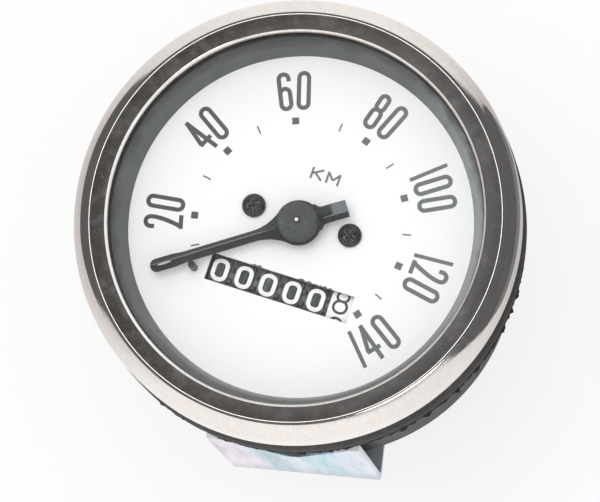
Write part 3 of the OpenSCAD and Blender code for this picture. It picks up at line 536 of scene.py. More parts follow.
def zincFinish():
    # passivated zinc: pink, blue and cyan films that change across the strap, fine rolling lines along it
    s = zincFilmLightAndShade
    material, start, point = newMaterial("bright_zinc")
    x, y, z = partsOf(point)
    cloud = noiseOn(point, 0.2, 4.0, 0.55, (1, 1, 0.12))
    across = reach(x, y, towards(s["turned"])) + (cloud - 0.5) * s["wander"]
    colour = ramp(level(across, -s["half"], s["half"]), *s["film"])
    lines = noiseOn(point, 1.2, 3.0, 0.6, (3.0, 3.0, 0.2))
    blots = noiseOn(point, 0.35, 5.0, 0.6, (1, 1, 0.12))
    colour = tint(level(blots, 0.46, 0.68) * 0.5, colour, s["blot"])
    # painted shade: darker and duller towards the bend; painted highlight: bright white on the sheared ends
    # of the legs
    dull = level(z - bendLevel, *s["dullEdge"])
    colour = tint(dull * 0.6, colour, s["dull"])
    endHighlight = level(z - legTop, *s["shearedEdge"])
    return surface(material, start, tint(endHighlight, colour, s["shearedHighlight"]), level(blots, 0.3, 0.75, 0.24, 0.42),
                   1 - endHighlight - dull * 0.5, (lines, 0.12, 0.04))


def metalFinish(name, colour, dark, rough, stretch=(1, 1, 1), cloudSize=0.2):
    # turned, drawn or cast metal: tool marks along one direction and tarnish in clouds
    material, start, point = newMaterial(name)
    marks = noiseOn(point, 2.0, 4.0, 0.6, stretch)
    tarnish = noiseOn(point, cloudSize, 4.0)
    shade = tint(level(tarnish, 0.45, 0.8) * 0.7, colour, dark)
    return surface(material, start, shade, level(marks, 0.3, 0.7, rough - 0.06, rough + 0.08), 1.0,
                   (marks, 0.2, 0.04))


enamel = {"cool": (0.93, 0.945, 0.945), "warm": (0.955, 0.95, 0.945), "under": (0.72, 0.73, 0.72),
          "thick": 0.02}


def dialFinish():
    # white enamel on the face, and grey on its edges and underneath
    s = enamel
    material, start, point = newMaterial("dial_enamel")
    grain = noiseOn(point, 4.0, 3.0)
    cloud = noiseOn(point, 0.05, 3.0)
    below = partsOf(point)[2] < dialZ - s["thick"]
    colour = tint(level(cloud, 0.3, 0.7), s["cool"], s["warm"])
    return surface(material, start, tint(below, colour, s["under"]), 0.5, 0.0, (grain, 0.02, 0.01))


inkGlare = {"side": 18.8, "span": 34}


def inkFinish(name, nearColour, farColour):
    # printed ink, painted paler towards one side of the dial as a veil of glare
    material, start, point = newMaterial(name)
    x, y = partsOf(point)[:2]
    # painted glare: the ink pales towards one side
    fade = level(reach(x, y, towards(inkGlare["side"])), -inkGlare["span"], inkGlare["span"])
    grain = noiseOn(point, 6.0, 3.0, 0.6)
    colour = tint(fade, nearColour, farColour)
    pale = tuple(c * 1.35 + 0.03 for c in farColour)
    return surface(material, start, tint(level(grain, 0.55, 0.8) * 0.5, colour, pale), 0.6, 0.0,
                   (grain, 0.15, 0.02))


drumGapLightening = {"colour": (0.26, 0.28, 0.27), "depth": (0.05, 1.2)}


def drumFinish(name, colour, hair):
    # moulded plastic with fine turning lines round the drum, painted paler between its teeth against the
    # shade there
    material, start, point = newMaterial(name)
    y, z = partsOf(point)[1:]
    low, high = nodeBox("ones_drum")
    axle = (low + high) / 2
    depth = high.z - axle.z - radiusOf(y - axle.y, z - axle.z)
    lines = noiseOn(point, 1.0, 2.0, 0.5, (4.5, 0.06, 0.06))
    cloud = noiseOn(point, 0.6, 3.0)
    mask = level(lines, 0.50, 0.64) * level(cloud, 0.3, 0.55) * 0.45
    # painted light: paler deep between the teeth
    dust = level(depth, *drumGapLightening["depth"])
    return surface(material, start, tint(dust, tint(mask, colour, hair), drumGapLightening["colour"]), 0.5, 0.0,
                   (lines, 0.2, 0.03))


chrome = chromeFinish()
glass = glassFinish("pane_glass")
bulbGlass = glassFinish("bulb_glass")
seal = rubberFinish("seal_rubber", (0.02, 0.02, 0.02))
ringRubber = rubberFinish("ring_rubber", (0.022, 0.021, 0.02))
spacerPaint = spacerFinish()
casePaint = paintFinish("case_enamel", (0.030, 0.031, 0.032), rough=0.5, speck=0.2)
zinc = zincFinish()
fastenerZinc = metalFinish("fastener_zinc", (0.84, 0.86, 0.90), (0.50, 0.53, 0.60), 0.22, cloudSize=0.5)
dialEnamel = dialFinish()
dialInk = inkFinish("dial_ink", (0.060, 0.062, 0.064), (0.185, 0.20, 0.205))
unitInk = inkFinish("unit_ink", (0.16, 0.165, 0.17), (0.19, 0.2, 0.21))
blackPaint = paintFinish("satin_black", (0.024, 0.027, 0.027), rough=0.42)
pointerPaint = pointerFinish()
capPaint = paintFinish("cap_paint", (0.056, 0.062, 0.060), rough=0.7, speck=1.0, peel=0.6, lift=2.0, fine=3.6)
screwBlack = screwFinish()
burrGrey = metalFinish("burr_metal", (0.34, 0.36, 0.36), (0.2, 0.21, 0.21), 0.5)
brass = metalFinish("turned_brass", (0.78, 0.60, 0.30), (0.45, 0.32, 0.15), 0.3, (0.3, 0.3, 3.0))
sheetBrass = metalFinish("sheet_brass", (0.80, 0.63, 0.34), (0.5, 0.38, 0.2), 0.36, (3.0, 0.2, 1.0))
bronze = metalFinish("sintered_bronze", (0.58, 0.38, 0.20), (0.3, 0.18, 0.1), 0.5)
steel = metalFinish("turned_steel", (0.62, 0.62, 0.63), (0.36, 0.35, 0.34), 0.26, (0.3, 0.3, 3.0))
tipSteel = tipFinish()
sheetSteel = metalFinish("sheet_steel", (0.6, 0.6, 0.6), (0.4, 0.39, 0.37), 0.38, (3.0, 0.2, 1.0))
fieldSteel = metalFinish("drawn_steel", (0.42, 0.42, 0.43), (0.24, 0.22, 0.2), 0.42, (2.0, 2.0, 0.2))
aluminium = metalFinish("spun_aluminium", (0.8, 0.8, 0.81), (0.6, 0.6, 0.6), 0.32, (0.3, 0.3, 3.0))
dieCast = metalFinish("die_cast", (0.55, 0.55, 0.545), (0.34, 0.34, 0.33), 0.52, cloudSize=0.12)
magnetGrey = metalFinish("sintered_magnet", (0.2, 0.2, 0.21), (0.12, 0.11, 0.1), 0.6)
drumBlack = drumFinish("drum_black_plastic", (0.044, 0.052, 0.050), (0.27, 0.29, 0.28))
drumWhite = drumFinish("drum_white_plastic", (0.96, 0.96, 0.95), (0.86, 0.86, 0.84))
figureWhite = paintFinish("figure_white", (0.97, 0.97, 0.97), rough=0.5, speck=0.05, peel=0.1, lift=1.0)
figureBlack = paintFinish("figure_black", (0.075, 0.07, 0.065), rough=0.5, speck=0.2, peel=0.1)


def dressNodes():
    finishes = {
        glass: ["lens"], bulbGlass: ["lamp_bulb"], chrome: ["bezel"], seal: ["lens_gasket"],
        ringRubber: ["panel_gasket"], spacerPaint: ["spacer_ring"], casePaint: ["case"],
        zinc: ["mounting_bracket"],
        fastenerZinc: ["case_washers", "case_nuts", "bracket_washers", "bracket_nuts", "mounting_studs"],
        dialEnamel: ["dial_plate"], screwBlack: ["dial_screws"], capPaint: ["pointer_cap"],
        pointerPaint: ["pointer"], blackPaint: ["stop_pin"], tipSteel: ["pointer_spindle"],
        brass: ["dial_posts", "spring_collet", "upper_bush", "drive_worm", "cross_wheel", "cross_worm",
                "riser_wheel", "riser_worm", "drum_gear"] + ["carry_pinion_%d" % i for i in range(1, 6)],
        sheetBrass: ["upper_bridge", "spring_lever"], bronze: ["neck_bush", "hairspring"],
        steel: ["lamp_holder", "bridge_screws", "drive_spindle", "drive_socket", "cross_shaft", "riser_shaft",
                "odometer_screws", "drum_shaft", "pinion_shaft"],
        sheetSteel: ["odometer_frame"], fieldSteel: ["field_cup"], aluminium: ["speed_cup"],
        dieCast: ["movement_frame"], magnetGrey: ["magnet"], drumWhite: ["tenths_drum"],
        drumBlack: ["ten_thousands_drum", "thousands_drum", "hundreds_drum", "tens_drum", "ones_drum"],
    }
    for material, names in finishes.items():
        for name in names:
            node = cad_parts[name]
            node.data.materials.clear()
            node.data.materials.append(material)
            node.data.polygons.foreach_set("material_index", [0] * len(node.data.polygons))


dressNodes()
print("finishes are on the CAD nodes")


# Mesh helpers

def makePiece(name, bm, material, body, replaced=(), sharp=30):
    # makes a shape an object on its body; edges that turn by more than sharp degrees stay crisp
    bmesh.ops.scale(bm, vec=(mm, mm, mm), verts=bm.verts)
    mesh = bpy.data.meshes.new(name)
    bm.to_mesh(mesh)
    bm.free()
    mesh.shade_smooth()
    mesh.set_sharp_from_angle(angle=math.radians(sharp))
    mesh.materials.append(material)
    piece = bpy.data.objects.new(name, mesh)
    bpy.context.scene.collection.objects.link(piece)
    even = piece.modifiers.new("even_normals", "WEIGHTED_NORMAL")
    even.keep_sharp = True
    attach(piece, body)
    if replaced:
        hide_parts(*replaced)


def turned(profile, steps):
    # spins a closed outline of radius and height about the dial axis
    bm = bmesh.new()
    corners = [bm.verts.new((r, 0, z)) for r, z in profile]
    edges = [bm.edges.new(pair) for pair in zip(corners, corners[1:] + corners[:1])]
    bmesh.ops.spin(bm, geom=corners + edges, axis=(0, 0, 1), cent=(0, 0, 0), angle=turn, steps=steps,
                   use_merge=True)
    bmesh.ops.remove_doubles(bm, verts=bm.verts, dist=1e-4)
    bmesh.ops.recalc_face_normals(bm, faces=bm.faces)
    return bm


def rounded(corners, step=7):
    # a closed outline whose corners, each with its radius, become arcs
    points = []
    for i, (x, y, radius) in enumerate(corners):
        here = Vector((x, y))
        before = (Vector(corners[i - 1][:2]) - here).normalized()
        after = (Vector(corners[(i + 1) % len(corners)][:2]) - here).normalized()
        half = before.angle(after) / 2
        if not radius:
            points.append((x, y))
            continue
        middle = here + (before + after).normalized() * radius / math.sin(half)
        spoke = here + before * radius / math.tan(half) - middle
        sweep = (math.pi - 2 * half) * (1 if before.cross(after) < 0 else -1)
        count = max(1, round(abs(math.degrees(sweep)) / step))
        for k in range(count + 1):
            points.append(tuple(middle + Matrix.Rotation(sweep * k / count, 2) @ spoke))
    return points


def roundRing(bm, r, z, width, segments):
    # bevels the ring of edges that one corner of the outline became
    ring = [e for e in bm.edges if all(abs(math.hypot(v.co.x, v.co.y) - r) < 0.01 and abs(v.co.z - z) < 0.01
                                       for v in e.verts)]
    bmesh.ops.bevel(bm, geom=ring, offset=width, segments=segments, affect="EDGES", profile=0.5, material=-1)


def softened(node, width, segments=2, angle=28):
    # a merged copy of a CAD node with its sharp edges broken
    bm = bmesh.new()
    bm.from_mesh(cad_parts[node].data)
    bmesh.ops.scale(bm, vec=(1 / mm,) * 3, verts=bm.verts)
    bmesh.ops.remove_doubles(bm, verts=bm.verts, dist=1e-3)
    bmesh.ops.dissolve_limit(bm, angle_limit=math.radians(0.5), verts=bm.verts, edges=bm.edges)
    crisp = [e for e in bm.edges if len(e.link_faces) == 2 and e.calc_face_angle(0) > math.radians(angle)]
    bmesh.ops.bevel(bm, geom=crisp, offset=width, segments=segments, affect="EDGES", profile=0.5, material=-1,
                    clamp_overlap=True)
    return bm


# Bezel, glass and rubber

bezelShape = {"edge": 43.0, "crest": 39.85, "opening": 36.1, "clinch": 40.2, "sheet": 0.7, "slope": 18,
              "dip": 0.35, "shoulderRound": 2.9, "crestRound": 1.8, "lipRound": 0.74, "footRound": 0.35,
              "rollRound": 0.1, "ledge": 0.9, "underCrest": 0.3, "underCrestRound": 0.2, "inside": 0.6,
              "underShoulder": 1.0, "insideRound": 1.2, "steps": 288}


def makeBezel():
    # rolled sheet: up its outer edge, over shoulder and crest to the lip on the glass, and back inside
    s = bezelShape
    top, foot, sheet = bezelHigh.z, bezelLow.z, s["sheet"]
    shoulder = top - (s["edge"] - s["crest"]) * math.tan(math.radians(s["slope"]))
    seat = lensHigh.z
    outline = [(s["clinch"], foot, s["rollRound"]), (s["edge"], foot, s["footRound"]),
               (s["edge"], shoulder, s["shoulderRound"]), (s["crest"], top, s["crestRound"]),
               (s["opening"], top - s["dip"], s["lipRound"]), (s["opening"], seat, 0),
               (s["opening"] + s["ledge"], seat, 0),
               (s["crest"], top - sheet - s["underCrest"], s["underCrestRound"]),
               (s["edge"] - sheet - s["inside"], shoulder - s["underShoulder"], s["insideRound"]),
               (s["edge"] - sheet, foot + sheet, 0), (s["clinch"], foot + sheet, s["rollRound"])]
    bm = turned(rounded(outline), s["steps"])
    makePiece("chrome_bezel", bm, chrome, "root", ["bezel"], sharp=40)


lensShape = {"edge": 0.25, "steps": 128}


def makeLens():
    s = lensShape
    r, low, high = lensHigh.x, lensLow.z, lensHigh.z
    bm = turned([(0, low), (r, low), (r, high), (0, high)], s["steps"])
    for z in (low, high):
        roundRing(bm, r, z, s["edge"], segments=2)
    makePiece("front_glass", bm, glass, "root", ["lens"])


# the flash is given by bearings: where it starts, where it has grown full and where it ends
ringShape = {"inner": 38.55, "bead": 5.0, "seat": 42.2, "collar": 0.8, "hem": 0.35, "hemHigh": 0.3,
             "groove": (0.75, 1.0, 1.5), "grooveDeep": 0.3, "steps": 720,
             "flash": 0.62, "flashHigh": 0.8, "flashDeep": 0.4, "flashFrom": -118, "flashFull": -62,
             "flashTo": 9, "flashEnds": 6, "flashGrow": 20, "flashThin": 0.4, "longRag": 0.41,
             "shortRag": 1.05, "shortShare": 0.8, "ragLift": 0.25, "rubbed": (-97.4, -57.6),
             "rubbedSpread": 5}


def flashAt(bearing):
    # how far the torn mould flash stands out at a bearing
    s = ringShape
    fade = min(1, (bearing - s["flashFrom"]) / s["flashEnds"], (s["flashTo"] - bearing) / s["flashEnds"])
    grown = min(1, max(0, (bearing - s["flashFull"] + s["flashGrow"]) / s["flashGrow"]))
    fade *= s["flashThin"] + (1 - s["flashThin"]) * grown
    # it is rubbed away over the corners of the bracket's leg
    fade *= min(1, min(abs(bearing - corner) for corner in s["rubbed"]) / s["rubbedSpread"])
    rag = noise.noise(Vector((bearing * s["longRag"], 0, 0)))
    rag += s["shortShare"] * noise.noise(Vector((bearing * s["shortRag"], 3, 0)))
    return s["flash"] * fade * max(0, s["ragLift"] + rag)


def makeRing():
    # rubber ring with a groove, whose mould flash is torn along the lower side
    s = ringShape
    outer, top = ringHigh.x, ringHigh.z
    grooveLow, grooveMiddle, grooveHigh = s["groove"]
    bm = turned([(s["inner"], 0), (outer - s["hem"], 0), (outer, s["hemHigh"]), (outer, grooveLow),
                 (outer - s["grooveDeep"], grooveMiddle), (outer, grooveHigh), (outer, s["bead"]),
                 (s["seat"], top - s["collar"]), (s["seat"], top), (s["inner"], top)], s["steps"])
    for vert in bm.verts:
        r = math.hypot(vert.co.x, vert.co.y)
        bearing = math.degrees(math.atan2(vert.co.y, vert.co.x))
        onEdge = vert.co.z < s["flashHigh"] and r > outer - s["flashDeep"]
        if onEdge and s["flashFrom"] < bearing < s["flashTo"]:
            vert.co.xy *= 1 + flashAt(bearing) / r
    makePiece("panel_ring", bm, ringRubber, "root", ["panel_gasket"], sharp=50)


makeBezel()
makeLens()
makeRing()
print("bezel, glass and rubber ring are made")


# Bracket, fasteners and the parts behind the case

# the CAD nodes whose edges are broken: how wide, their finish and their slot
brokenEdges = {"mounting_bracket": (0.18, zinc, "zinc"), "case_nuts": (0.2, fastenerZinc, "zinc"),
               "bracket_nuts": (0.2, fastenerZinc, "zinc"), "case_washers": (0.12, fastenerZinc, "zinc"),
               "bracket_washers": (0.12, fastenerZinc, "zinc"),
               "mounting_studs": (0.3, fastenerZinc, "steel"), "lamp_holder": (0.25, steel, "steel")}


def makeEdged():
    for node, (width, material, slotName) in brokenEdges.items():
        makePiece(node + "_edged", softened(node, width), material, "root", [node], sharp=32)


threadShape = {"outer": 6.0, "root": 5.42, "pitch": 1.0, "low": 0.6, "high": 10.6, "shoulder": 11,
               "ridgeHalf": 0.46, "crestHalf": 0.09, "sunk": 0.1, "skin": 0.6, "clear": 0.05, "steps": 48}


def makeNeck():
    # the frame with its cable thread cut: the plain end is drawn in and a ridge winds round it
    s = threadShape
    bm = softened("movement_frame", width=0.15, segments=1)
    for vert in bm.verts:
        r = math.hypot(vert.co.x, vert.co.y)
        if vert.co.z < floorZ + s["shoulder"] - s["clear"] and r > s["outer"] - s["skin"]:
            vert.co.xy *= s["root"] / r
    makePiece("movement_casting", bm, dieCast, "root", ["movement_frame"], sharp=35)
    bm = bmesh.new()
    half, crest, inside = s["pitch"] * s["ridgeHalf"], s["crestHalf"], s["root"] - s["sunk"]
    outline = [(inside, -half), (s["outer"], -crest), (s["outer"], crest), (inside, half)]
    corners = [bm.verts.new((r, 0, floorZ + s["low"] + z)) for r, z in outline]
    face = bm.faces.new(corners)
    turns = (s["high"] - s["low"]) / s["pitch"]
    bmesh.ops.spin(bm, geom=[face], axis=(0, 0, 1), cent=(0, 0, 0), angle=turn * turns,
                   steps=int(s["steps"] * turns), dvec=(0, 0, s["pitch"] / s["steps"]), use_merge=False)
    bmesh.ops.remove_doubles(bm, verts=bm.verts, dist=1e-4)
    bmesh.ops.recalc_face_normals(bm, faces=bm.faces)
    makePiece("cable_thread", bm, dieCast, "root", sharp=25)


makeEdged()
makeNeck()
print("bracket, fasteners and neck are made")


# Figures: each is a set of strokes, drawn about its own middle

def bow(x, y, rx, ry, start, end, steps=12):
    angles = [math.radians(start + (end - start) * i / steps) for i in range(steps + 1)]
    return [(x + rx * math.cos(a), y + ry * math.sin(a)) for a in angles]


def line(first, last, steps=6):
    return [(first[0] + (last[0] - first[0]) * i / steps, first[1] + (last[1] - first[1]) * i / steps)
            for i in range(steps + 1)]


def bend(first, pull, last, steps=12):
    # a curve from first to last that leans towards pull
    def at(k, t):
        return (1 - t) ** 2 * first[k] + 2 * t * (1 - t) * pull[k] + t * t * last[k]
    return [(at(0, i / steps), at(1, i / steps)) for i in range(steps + 1)]


def loop(x, y, a, b, r):
    # a closed round-cornered box
    places = ((a - r, b - r, 0), (r - a, b - r, 90), (r - a, r - b, 180), (a - r, r - b, 270))
    corners = [bow(x + cx, y + cy, r, r, start, start + 90, 6) for cx, cy, start in places]
    points = []
    for i, corner in enumerate(corners):
        points += corner + line(corner[-1], corners[(i + 1) % 4][0], 5)[1:-1]
    return points


def strokesOf(figure, wide, high, pen, corner=0.98):
    # wide and high are over the ink; returns open and closed strokes along the middle of the pen
    a, b, h = (wide - pen) / 2, (high - pen) / 2, pen / 2
    r = min(a, b)
    waist = 0.10 * b
    if figure == "0":
        return [(loop(0, 0, a, b, r * corner), True)]
    if figure == "1":
        return [(line((0, -b - h), (0, b + h)), False)]
    if figure == "2":
        hook = line((-a, b - r - 0.22 * b), (-a, b - r), 2)[:-1] + bow(0, b - r, a, r, 180, 0)
        return [(hook + bend((a, b - r), (a, 0.15 * b), (h * 0.4 - a, -b + h * 0.5))[1:], False),
                (line((-a - h, -b), (a + h * 0.9, -b)), False)]
    if figure == "3":
        up, down = (b - waist) / 2, (b + waist) / 2
        return [(bow(0, b - up, a, up, 165, -90), False), (bow(0, waist - down, a, down, 90, -165), False)]
    if figure == "4":
        bar = -0.42 * b
        return [(line((0.12 * a, b + h * 0.4), (-1.15 * a, bar), 8), False),
                (line((-1.15 * a - h * 0.6, bar), (a + h * 1.3, bar)), False),
                (line((0.06 * a, b + h), (0.72 * a, -b - h), 8), False)]
    if figure == "5":
        down = 0.62 * b
        return [(line((-a - h, b), (a + h, b)), False), (line((-a, b), (-a, 0.08 * b)), False),
                (bow(0, down - b, a, down, 140, -160), False)]
    if figure == "7":
        return [(line((-a - h, b), (a + h, b)), False), (line((a, b), (-0.3 * a, -b - h), 8), False)]
    if figure == "8":
        up, down = (b - waist) / 2, (b + waist) / 2
        narrow = a * 0.86
        return [(loop(0, b - up, narrow, up, min(narrow, up) * 0.95), True),
                (loop(0, down - b, a, down, min(a, down) * 0.95), True)]
    if figure == "6":
        bowl = 0.16 * b
        low = min(r, (bowl + b) / 2)
        path = line((a, b - r - 0.16 * b), (a, b - r), 2)[:-1] + bow(0, b - r, a, r, 0, 180)
        path += line((-a, b - r), (-a, low - b), 8)[1:-1] + bow(0, low - b, a, low, 180, 360)
        path += line((a, low - b), (a, bowl - low), 4)[1:]
        return [(path, False), (bow(0, bowl - low, a, low, 0, 180), False)]
    if figure == "9":
        return [([(-x, -y) for x, y in points], closed) for points, closed in strokesOf("6", wide, high, pen)]
    if figure == "K":
        return [(line((-a, -b - h), (-a, b + h)), False),
                (line((a + h * 0.7, b + h * 0.6), (-a, -0.12 * b)), False),
                (line((-0.30 * a, 0.10 * b), (a + h * 0.7, -b - h * 0.6)), False)]
    if figure == "M":
        return [(line((-a, -b - h), (-a, b + h)), False), (line((a, -b - h), (a, b + h)), False),
                (line((-a, b + h * 0.4), (0, -0.35 * b)), False),
                (line((a, b + h * 0.4), (0, -0.35 * b)), False)]


strokeLift = 0.15  # how much higher each next stroke of a figure lies, as a share of the ink's height


def inked(bm, strokes, pen, height, place=Matrix.Identity(4)):
    # adds flat ribbons along the strokes, each a solid of its own; where two cross, one lies on the other
    for layer, (points, closed) in enumerate(strokes):
        curve = bpy.data.curves.new("stroke", "CURVE")
        curve.dimensions, curve.twist_mode, curve.extrude = "3D", "Z_UP", pen / 2
        spline = curve.splines.new("POLY")
        spline.points.add(len(points) - 1)
        spline.use_cyclic_u = closed
        for made, (x, y) in zip(spline.points, points):
            made.co = (x, y, 0, 1)
            made.tilt = math.pi / 2
        holder = bpy.data.objects.new("stroke", curve)
        mesh = bpy.data.meshes.new_from_object(holder)
        bpy.data.objects.remove(holder)
        bpy.data.curves.remove(curve)
        ribbon = bmesh.new()
        ribbon.from_mesh(mesh)
        bpy.data.meshes.remove(mesh)
        bmesh.ops.remove_doubles(ribbon, verts=ribbon.verts, dist=1e-4)
        top = bmesh.ops.extrude_face_region(ribbon, geom=ribbon.faces[:], use_keep_orig=True)
        bmesh.ops.translate(ribbon, vec=(0, 0, height + layer * height * strokeLift),
                            verts=[v for v in top["geom"] if isinstance(v, bmesh.types.BMVert)])
        bmesh.ops.recalc_face_normals(ribbon, faces=ribbon.faces)
        lay(bm, ribbon, place)


def lay(whole, bm, place=Matrix.Identity(4)):
    # moves a shape to its place and adds it to a larger one
    bmesh.ops.transform(bm, matrix=place, verts=bm.verts)
    mesh = bpy.data.meshes.new("laid")
    bm.to_mesh(mesh)
    bm.free()
    whole.from_mesh(mesh)
    bpy.data.meshes.remove(mesh)


# Dial print

dialPrint = {"radius": 26.7, "high": 7.75, "wide": 2.75, "pen": 0.84, "gap": 0.95, "one": 0.74, "ink": 0.03,
             "markRadius": 20.7, "square": 1.36, "lineLong": 1.65, "lineWide": 0.28}
# the bearing of each speed
dialMarks = {10: 208.0, 20: 191.7, 30: 170.2, 40: 152.0, 50: 131.7, 60: 111.3, 70: 86.5, 80: 70.7, 90: 51.8,
             100: 32.5, 110: 12.5, 120: -4.9, 130: -24.5, 140: -39.0}
unitMark = {"place": (1.4, 10.6), "high": 2.3, "wideK": 2.4, "wideM": 2.7, "gap": 0.75, "pen": 0.42}


def makeDialPrint():
    # a square and a number at each 20, a line at each 10 between, and the unit above the pivot
    s = dialPrint
    bm = bmesh.new()
    for speed, bearing in dialMarks.items():
        out = Matrix.Rotation(math.radians(bearing - 90), 4, "Z")
        out = out @ Matrix.Translation((0, s["markRadius"], dialZ))
        long, wide = (s["lineLong"], s["lineWide"]) if speed % 20 else (s["square"], s["square"])
        inked(bm, [([(0, -long / 2), (0, long / 2)], False)], wide, s["ink"], out)
        if speed % 20:
            continue
        # the last number stands the other way up, so that it reads from the front
        facing = -1 if speed == 140 else 1
        text = str(speed)
        widths = [s["one"] if c == "1" else s["wide"] for c in text]
        along = -(sum(widths) + s["gap"] * (len(text) - 1)) / 2
        for figure, wide in zip(text, widths):
            lean = facing * math.degrees((along + wide / 2) / s["radius"])
            place = Matrix.Rotation(math.radians(bearing - 90 * facing - lean), 4, "Z")
            pen = s["one"] if figure == "1" else s["pen"]
            inked(bm, strokesOf(figure, s["wide"], s["high"], pen), pen, s["ink"],
                  place @ Matrix.Translation((0, facing * s["radius"], dialZ)))
            along += wide + s["gap"]
    makePiece("dial_figures", bm, dialInk, "root")
    u = unitMark
    bm = bmesh.new()
    for figure, wide, side in (("K", u["wideK"], -1), ("M", u["wideM"], 1)):
        offset = side * (u["gap"] + wide) / 2
        inked(bm, strokesOf(figure, wide, u["high"], u["pen"]), u["pen"], s["ink"],
              Matrix.Translation((u["place"][0] + offset, u["place"][1], dialZ)))
    makePiece("unit_letters", bm, unitInk, "root")


makeDialPrint()
print("the dial is printed")


# Odometer figures

# size and pen of the figures on the five black drums, and on the white tenths drum
drumFigures = {"black": (3.35, 4.5, 0.82), "white": (3.1, 4.7, 0.5), "pitch": 4.9, "ink": 0.03,
               "corner": 0.86, "sleeve": 0.05, "sleeveFrom": 10.1, "sleeveTo": 14.45, "sleeveSteps": 96}
# the bodies of the drums from left to right, and the figure that each shows
odometer = [("ten_thousands", 0), ("thousands", 0), ("hundreds", 0), ("tens", 0), ("ones", 0),
            ("tenths", 8.2)]


def makeDrumFigures():
    s = drumFigures
    for index, (body, shown) in enumerate(odometer):
        low, high = nodeBox(body + "_drum")
        axleY, axleZ, radius = (low.y + high.y) / 2, (low.z + high.z) / 2, (high.z - low.z) / 2
        x = (index - (len(odometer) - 1) / 2) * s["pitch"]
        tenths = body == "tenths"
        wide, tall, pen = s["white"] if tenths else s["black"]
        if tenths:
            # a white sleeve that nearly fills its end of the window
            outer = radius + s["sleeve"]
            bm = turned([(radius, s["sleeveFrom"]), (outer, s["sleeveFrom"]), (outer, s["sleeveTo"]),
                         (radius, s["sleeveTo"])], s["sleeveSteps"])
            bmesh.ops.transform(bm, verts=bm.verts, matrix=Matrix.Translation((0, axleY, axleZ))
                                @ Matrix.Rotation(math.radians(90), 4, "Y"))
            makePiece("tenths_sleeve", bm, drumWhite, body)
            radius = outer
        bm = bmesh.new()
        for figure in range(10):
            flat = bmesh.new()
            inked(flat, strokesOf(str(figure), wide, tall, pen, s["corner"]), pen, s["ink"])
            around = -math.radians(36) * (figure - shown)
            for vert in flat.verts:
                # wraps the flat figure round the drum, its top turned away from the reader
                angle = around + vert.co.y / radius
                r = radius + vert.co.z
                vert.co = (x + vert.co.x, axleY + r * math.sin(angle), axleZ + r * math.cos(angle))
            lay(bm, flat)
        makePiece(body + "_figures", bm, figureBlack if tenths else figureWhite, body)


makeDrumFigures()
print("the drums are printed")


# Pointer, cap and screws

def easeBetween(x, low, high):
    t = min(1, max(0, (x - low) / (high - low)))
    return t * t * (3 - 2 * t)


def pointerHalf(x):
    # half the width of the pointer at x, from its tail over the disc round the pivot to its tip
    s = pointerShape
    if x < s["neckLap"] - s["base"]:
        return s["tailHalf"] + s["neck"] * max(0, (x + s["neckFrom"]) / s["neckLong"]) ** 2
    if x < s["filletFrom"]:
        disc = math.sqrt(max(0, s["base"] ** 2 - x * x))
        return max(disc, s["tailHalf"] + s["neck"] if x < 0 else 0)
    if x < s["filletTo"]:
        start = math.sqrt(s["base"] ** 2 - s["filletFrom"] ** 2)
        t = (s["filletTo"] - x) / (s["filletTo"] - s["filletFrom"])
        return s["blade"] + (start - s["blade"]) * t ** s["filletPower"]
    half = s["blade"] + (s["leaf"] - s["blade"]) * easeBetween(x, s["leafFrom"], s["leafFull"])
    end = (x - s["tip"] + s["tipRound"]) / s["tipRound"]
    return half * math.sqrt(max(0, 1 - end * end)) if end > 0 else half


def pointerHeight(x, across):
    # height of its upper side, where across runs from -1 at one edge to 1 at the other
    s = pointerShape
    if x >= -s["tailRidgeFrom"]:
        return s["thick"] + s["ridge"] * easeBetween(x, s["ridgeFrom"], s["ridgeFull"]) * (1 - abs(across))
    # the tail has two facets that meet off its middle, and its end is bent down
    side = s["tailRidgeSide"]
    ridge = s["ridge"] * (1 - abs(across + side) / (1 + side))
    ridge *= easeBetween(-x, s["tailRidgeFrom"], s["tailRidgeFull"])
    bent = max(0, -x - s["tailBendFrom"]) / (s["tail"] - s["tailBendFrom"])
    return s["thick"] + ridge - s["tailBend"] * bent


def makePointer():
    s = pointerShape
    bm = bmesh.new()
    bmesh.ops.create_grid(bm, x_segments=s["columns"], y_segments=s["rows"], size=1)
    for vert in bm.verts:
        across = vert.co.y
        x = (vert.co.x + 1) / 2 * (s["tip"] + s["tail"]) - s["tail"]
        y = across * pointerHalf(x)
        if s["slotFrom"] < x < s["slotTo"] and abs(abs(across) - 0.25) < 0.01:
            # the rows beside the middle bend round the slot
            part = (x - s["slotFrom"]) / (s["slotTo"] - s["slotFrom"])
            y = math.copysign(s["slotHalf"] * math.sin(math.pi * part) ** 0.5, across)
        vert.co = (x, y, pointerHeight(x, across))
    middle = [f for f in bm.faces if s["slotFrom"] < f.calc_center_median().x < s["slotTo"]
              and all(abs(v.co.y) < s["slotHalf"] + 0.02 for v in f.verts)]
    bmesh.ops.delete(bm, geom=middle, context="FACES")
    bmesh.ops.remove_doubles(bm, verts=bm.verts, dist=0.004)
    grown = bmesh.ops.extrude_face_region(bm, geom=bm.faces[:], use_keep_orig=True)
    for vert in grown["geom"]:
        if isinstance(vert, bmesh.types.BMVert):
            vert.co.z = 0
    bmesh.ops.recalc_face_normals(bm, faces=bm.faces)
    bmesh.ops.transform(bm, verts=bm.verts, matrix=Matrix.Translation((0, 0, nodeBox("pointer")[0].z))
                        @ Matrix.Rotation(math.radians(s["rest"]), 4, "Z"))
    makePiece("pointer_blade", bm, pointerPaint, "pointer_arbor", ["pointer"], sharp=24)


capShape = {"hole": 0.53, "foot": 4.0, "waist": 3.85, "waistHigh": 0.5, "side": 3.8, "drop": 0.45, "rim": 3.4,
            "rimDrop": 0.05, "flat": 1.2, "dish": 0.75, "dishDeep": 0.22, "sideRound": 0.25, "rimRound": 0.18,
            "steps": 128}


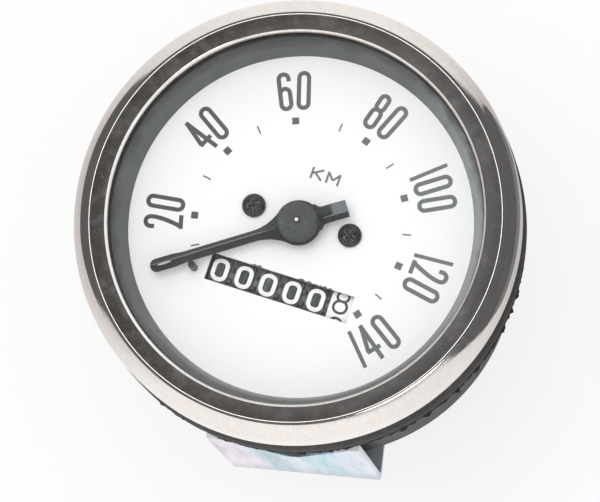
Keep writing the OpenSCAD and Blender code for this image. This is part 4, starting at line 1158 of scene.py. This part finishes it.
def makeCap():
    # low dome with a shallow dish round the bright end of the arbor
    s = capShape
    low, high = (corner.z for corner in nodeBox("pointer_cap"))
    bm = turned([(s["hole"], low), (s["foot"], low), (s["waist"], low + s["waistHigh"]),
                 (s["side"], high - s["drop"]), (s["rim"], high - s["rimDrop"]), (s["flat"], high),
                 (s["dish"], high - s["dishDeep"]), (s["hole"], high - s["dishDeep"])], s["steps"])
    roundRing(bm, s["side"], high - s["drop"], s["sideRound"], segments=4)
    roundRing(bm, s["rim"], high - s["rimDrop"], s["rimRound"], segments=3)
    makePiece("arbor_cap", bm, capPaint, "pointer_arbor", ["pointer_cap"], sharp=35)


def makeDialScrews():
    # domed heads whose cross recesses are pressed in
    s = screwShape
    foot = nodeBox("dial_screws")[0].z - dialZ
    angles = [math.pi / 2 * (1 - i / s["rings"]) for i in range(s["rings"] + 1)]
    dome = [(s["head"] * math.sin(a), s["rim"] + s["dome"] * math.cos(a)) for a in angles]
    whole = bmesh.new()
    for x, twist in zip(s["places"], s["turns"]):
        bm = turned([(0, foot), (s["shank"], foot), (s["shank"], 0), (s["head"], 0)] + dome, s["steps"])
        for vert in bm.verts:
            a, b = (abs(vert.co.to_2d().dot(towards(twist + q).to_2d())) for q in (0, 90))
            inCross = (a < s["arm"] and b < s["armHalf"]) or (b < s["arm"] and a < s["armHalf"])
            if vert.co.z > s["rim"] and inCross:
                vert.co.z -= s["deep"] * (1 - s["armRise"] * max(a, b) / s["arm"])
        lay(whole, bm, Matrix.Translation((x, s["y"], dialZ)))
    makePiece("pan_head_screws", whole, screwBlack, "root", ["dial_screws"], sharp=35)


# each span lies along the window's upper edge: from, to and how many burrs
windowBurrs = {"spans": ((-6.4, -4.2, 4), (2.9, 10.2, 11)), "windowMiddle": -12.7, "windowHigh": 5.4,
               "edge": 0.05, "scatter": 0.8, "size": 0.15, "sizes": (0.5, 1.7), "lumps": 0.35, "lumpScale": 9,
               "long": 1.6, "flat": 0.5}


def makeBurrs():
    # paint and metal left along the upper edge of the odometer window
    s = windowBurrs
    whole = bmesh.new()
    y = s["windowMiddle"] + s["windowHigh"] / 2 + s["edge"]
    places = [first + (last - first) * (i + random.random() * s["scatter"]) / count
              for first, last, count in s["spans"] for i in range(count)]
    for i, x in enumerate(places):
        bm = bmesh.new()
        bmesh.ops.create_icosphere(bm, subdivisions=2, radius=s["size"] * random.uniform(*s["sizes"]))
        for vert in bm.verts:
            vert.co *= 1 + s["lumps"] * noise.noise(vert.co * s["lumpScale"] + Vector((i, 0, 0)))
            vert.co.x *= s["long"]
            vert.co.z *= s["flat"]
        lay(whole, bm, Matrix.Translation((x, y, dialZ)))
    makePiece("window_burrs", whole, burrGrey, "root")


makePointer()
makeCap()
makeDialScrews()
makeBurrs()
print("pointer, cap, screws and burrs are made")
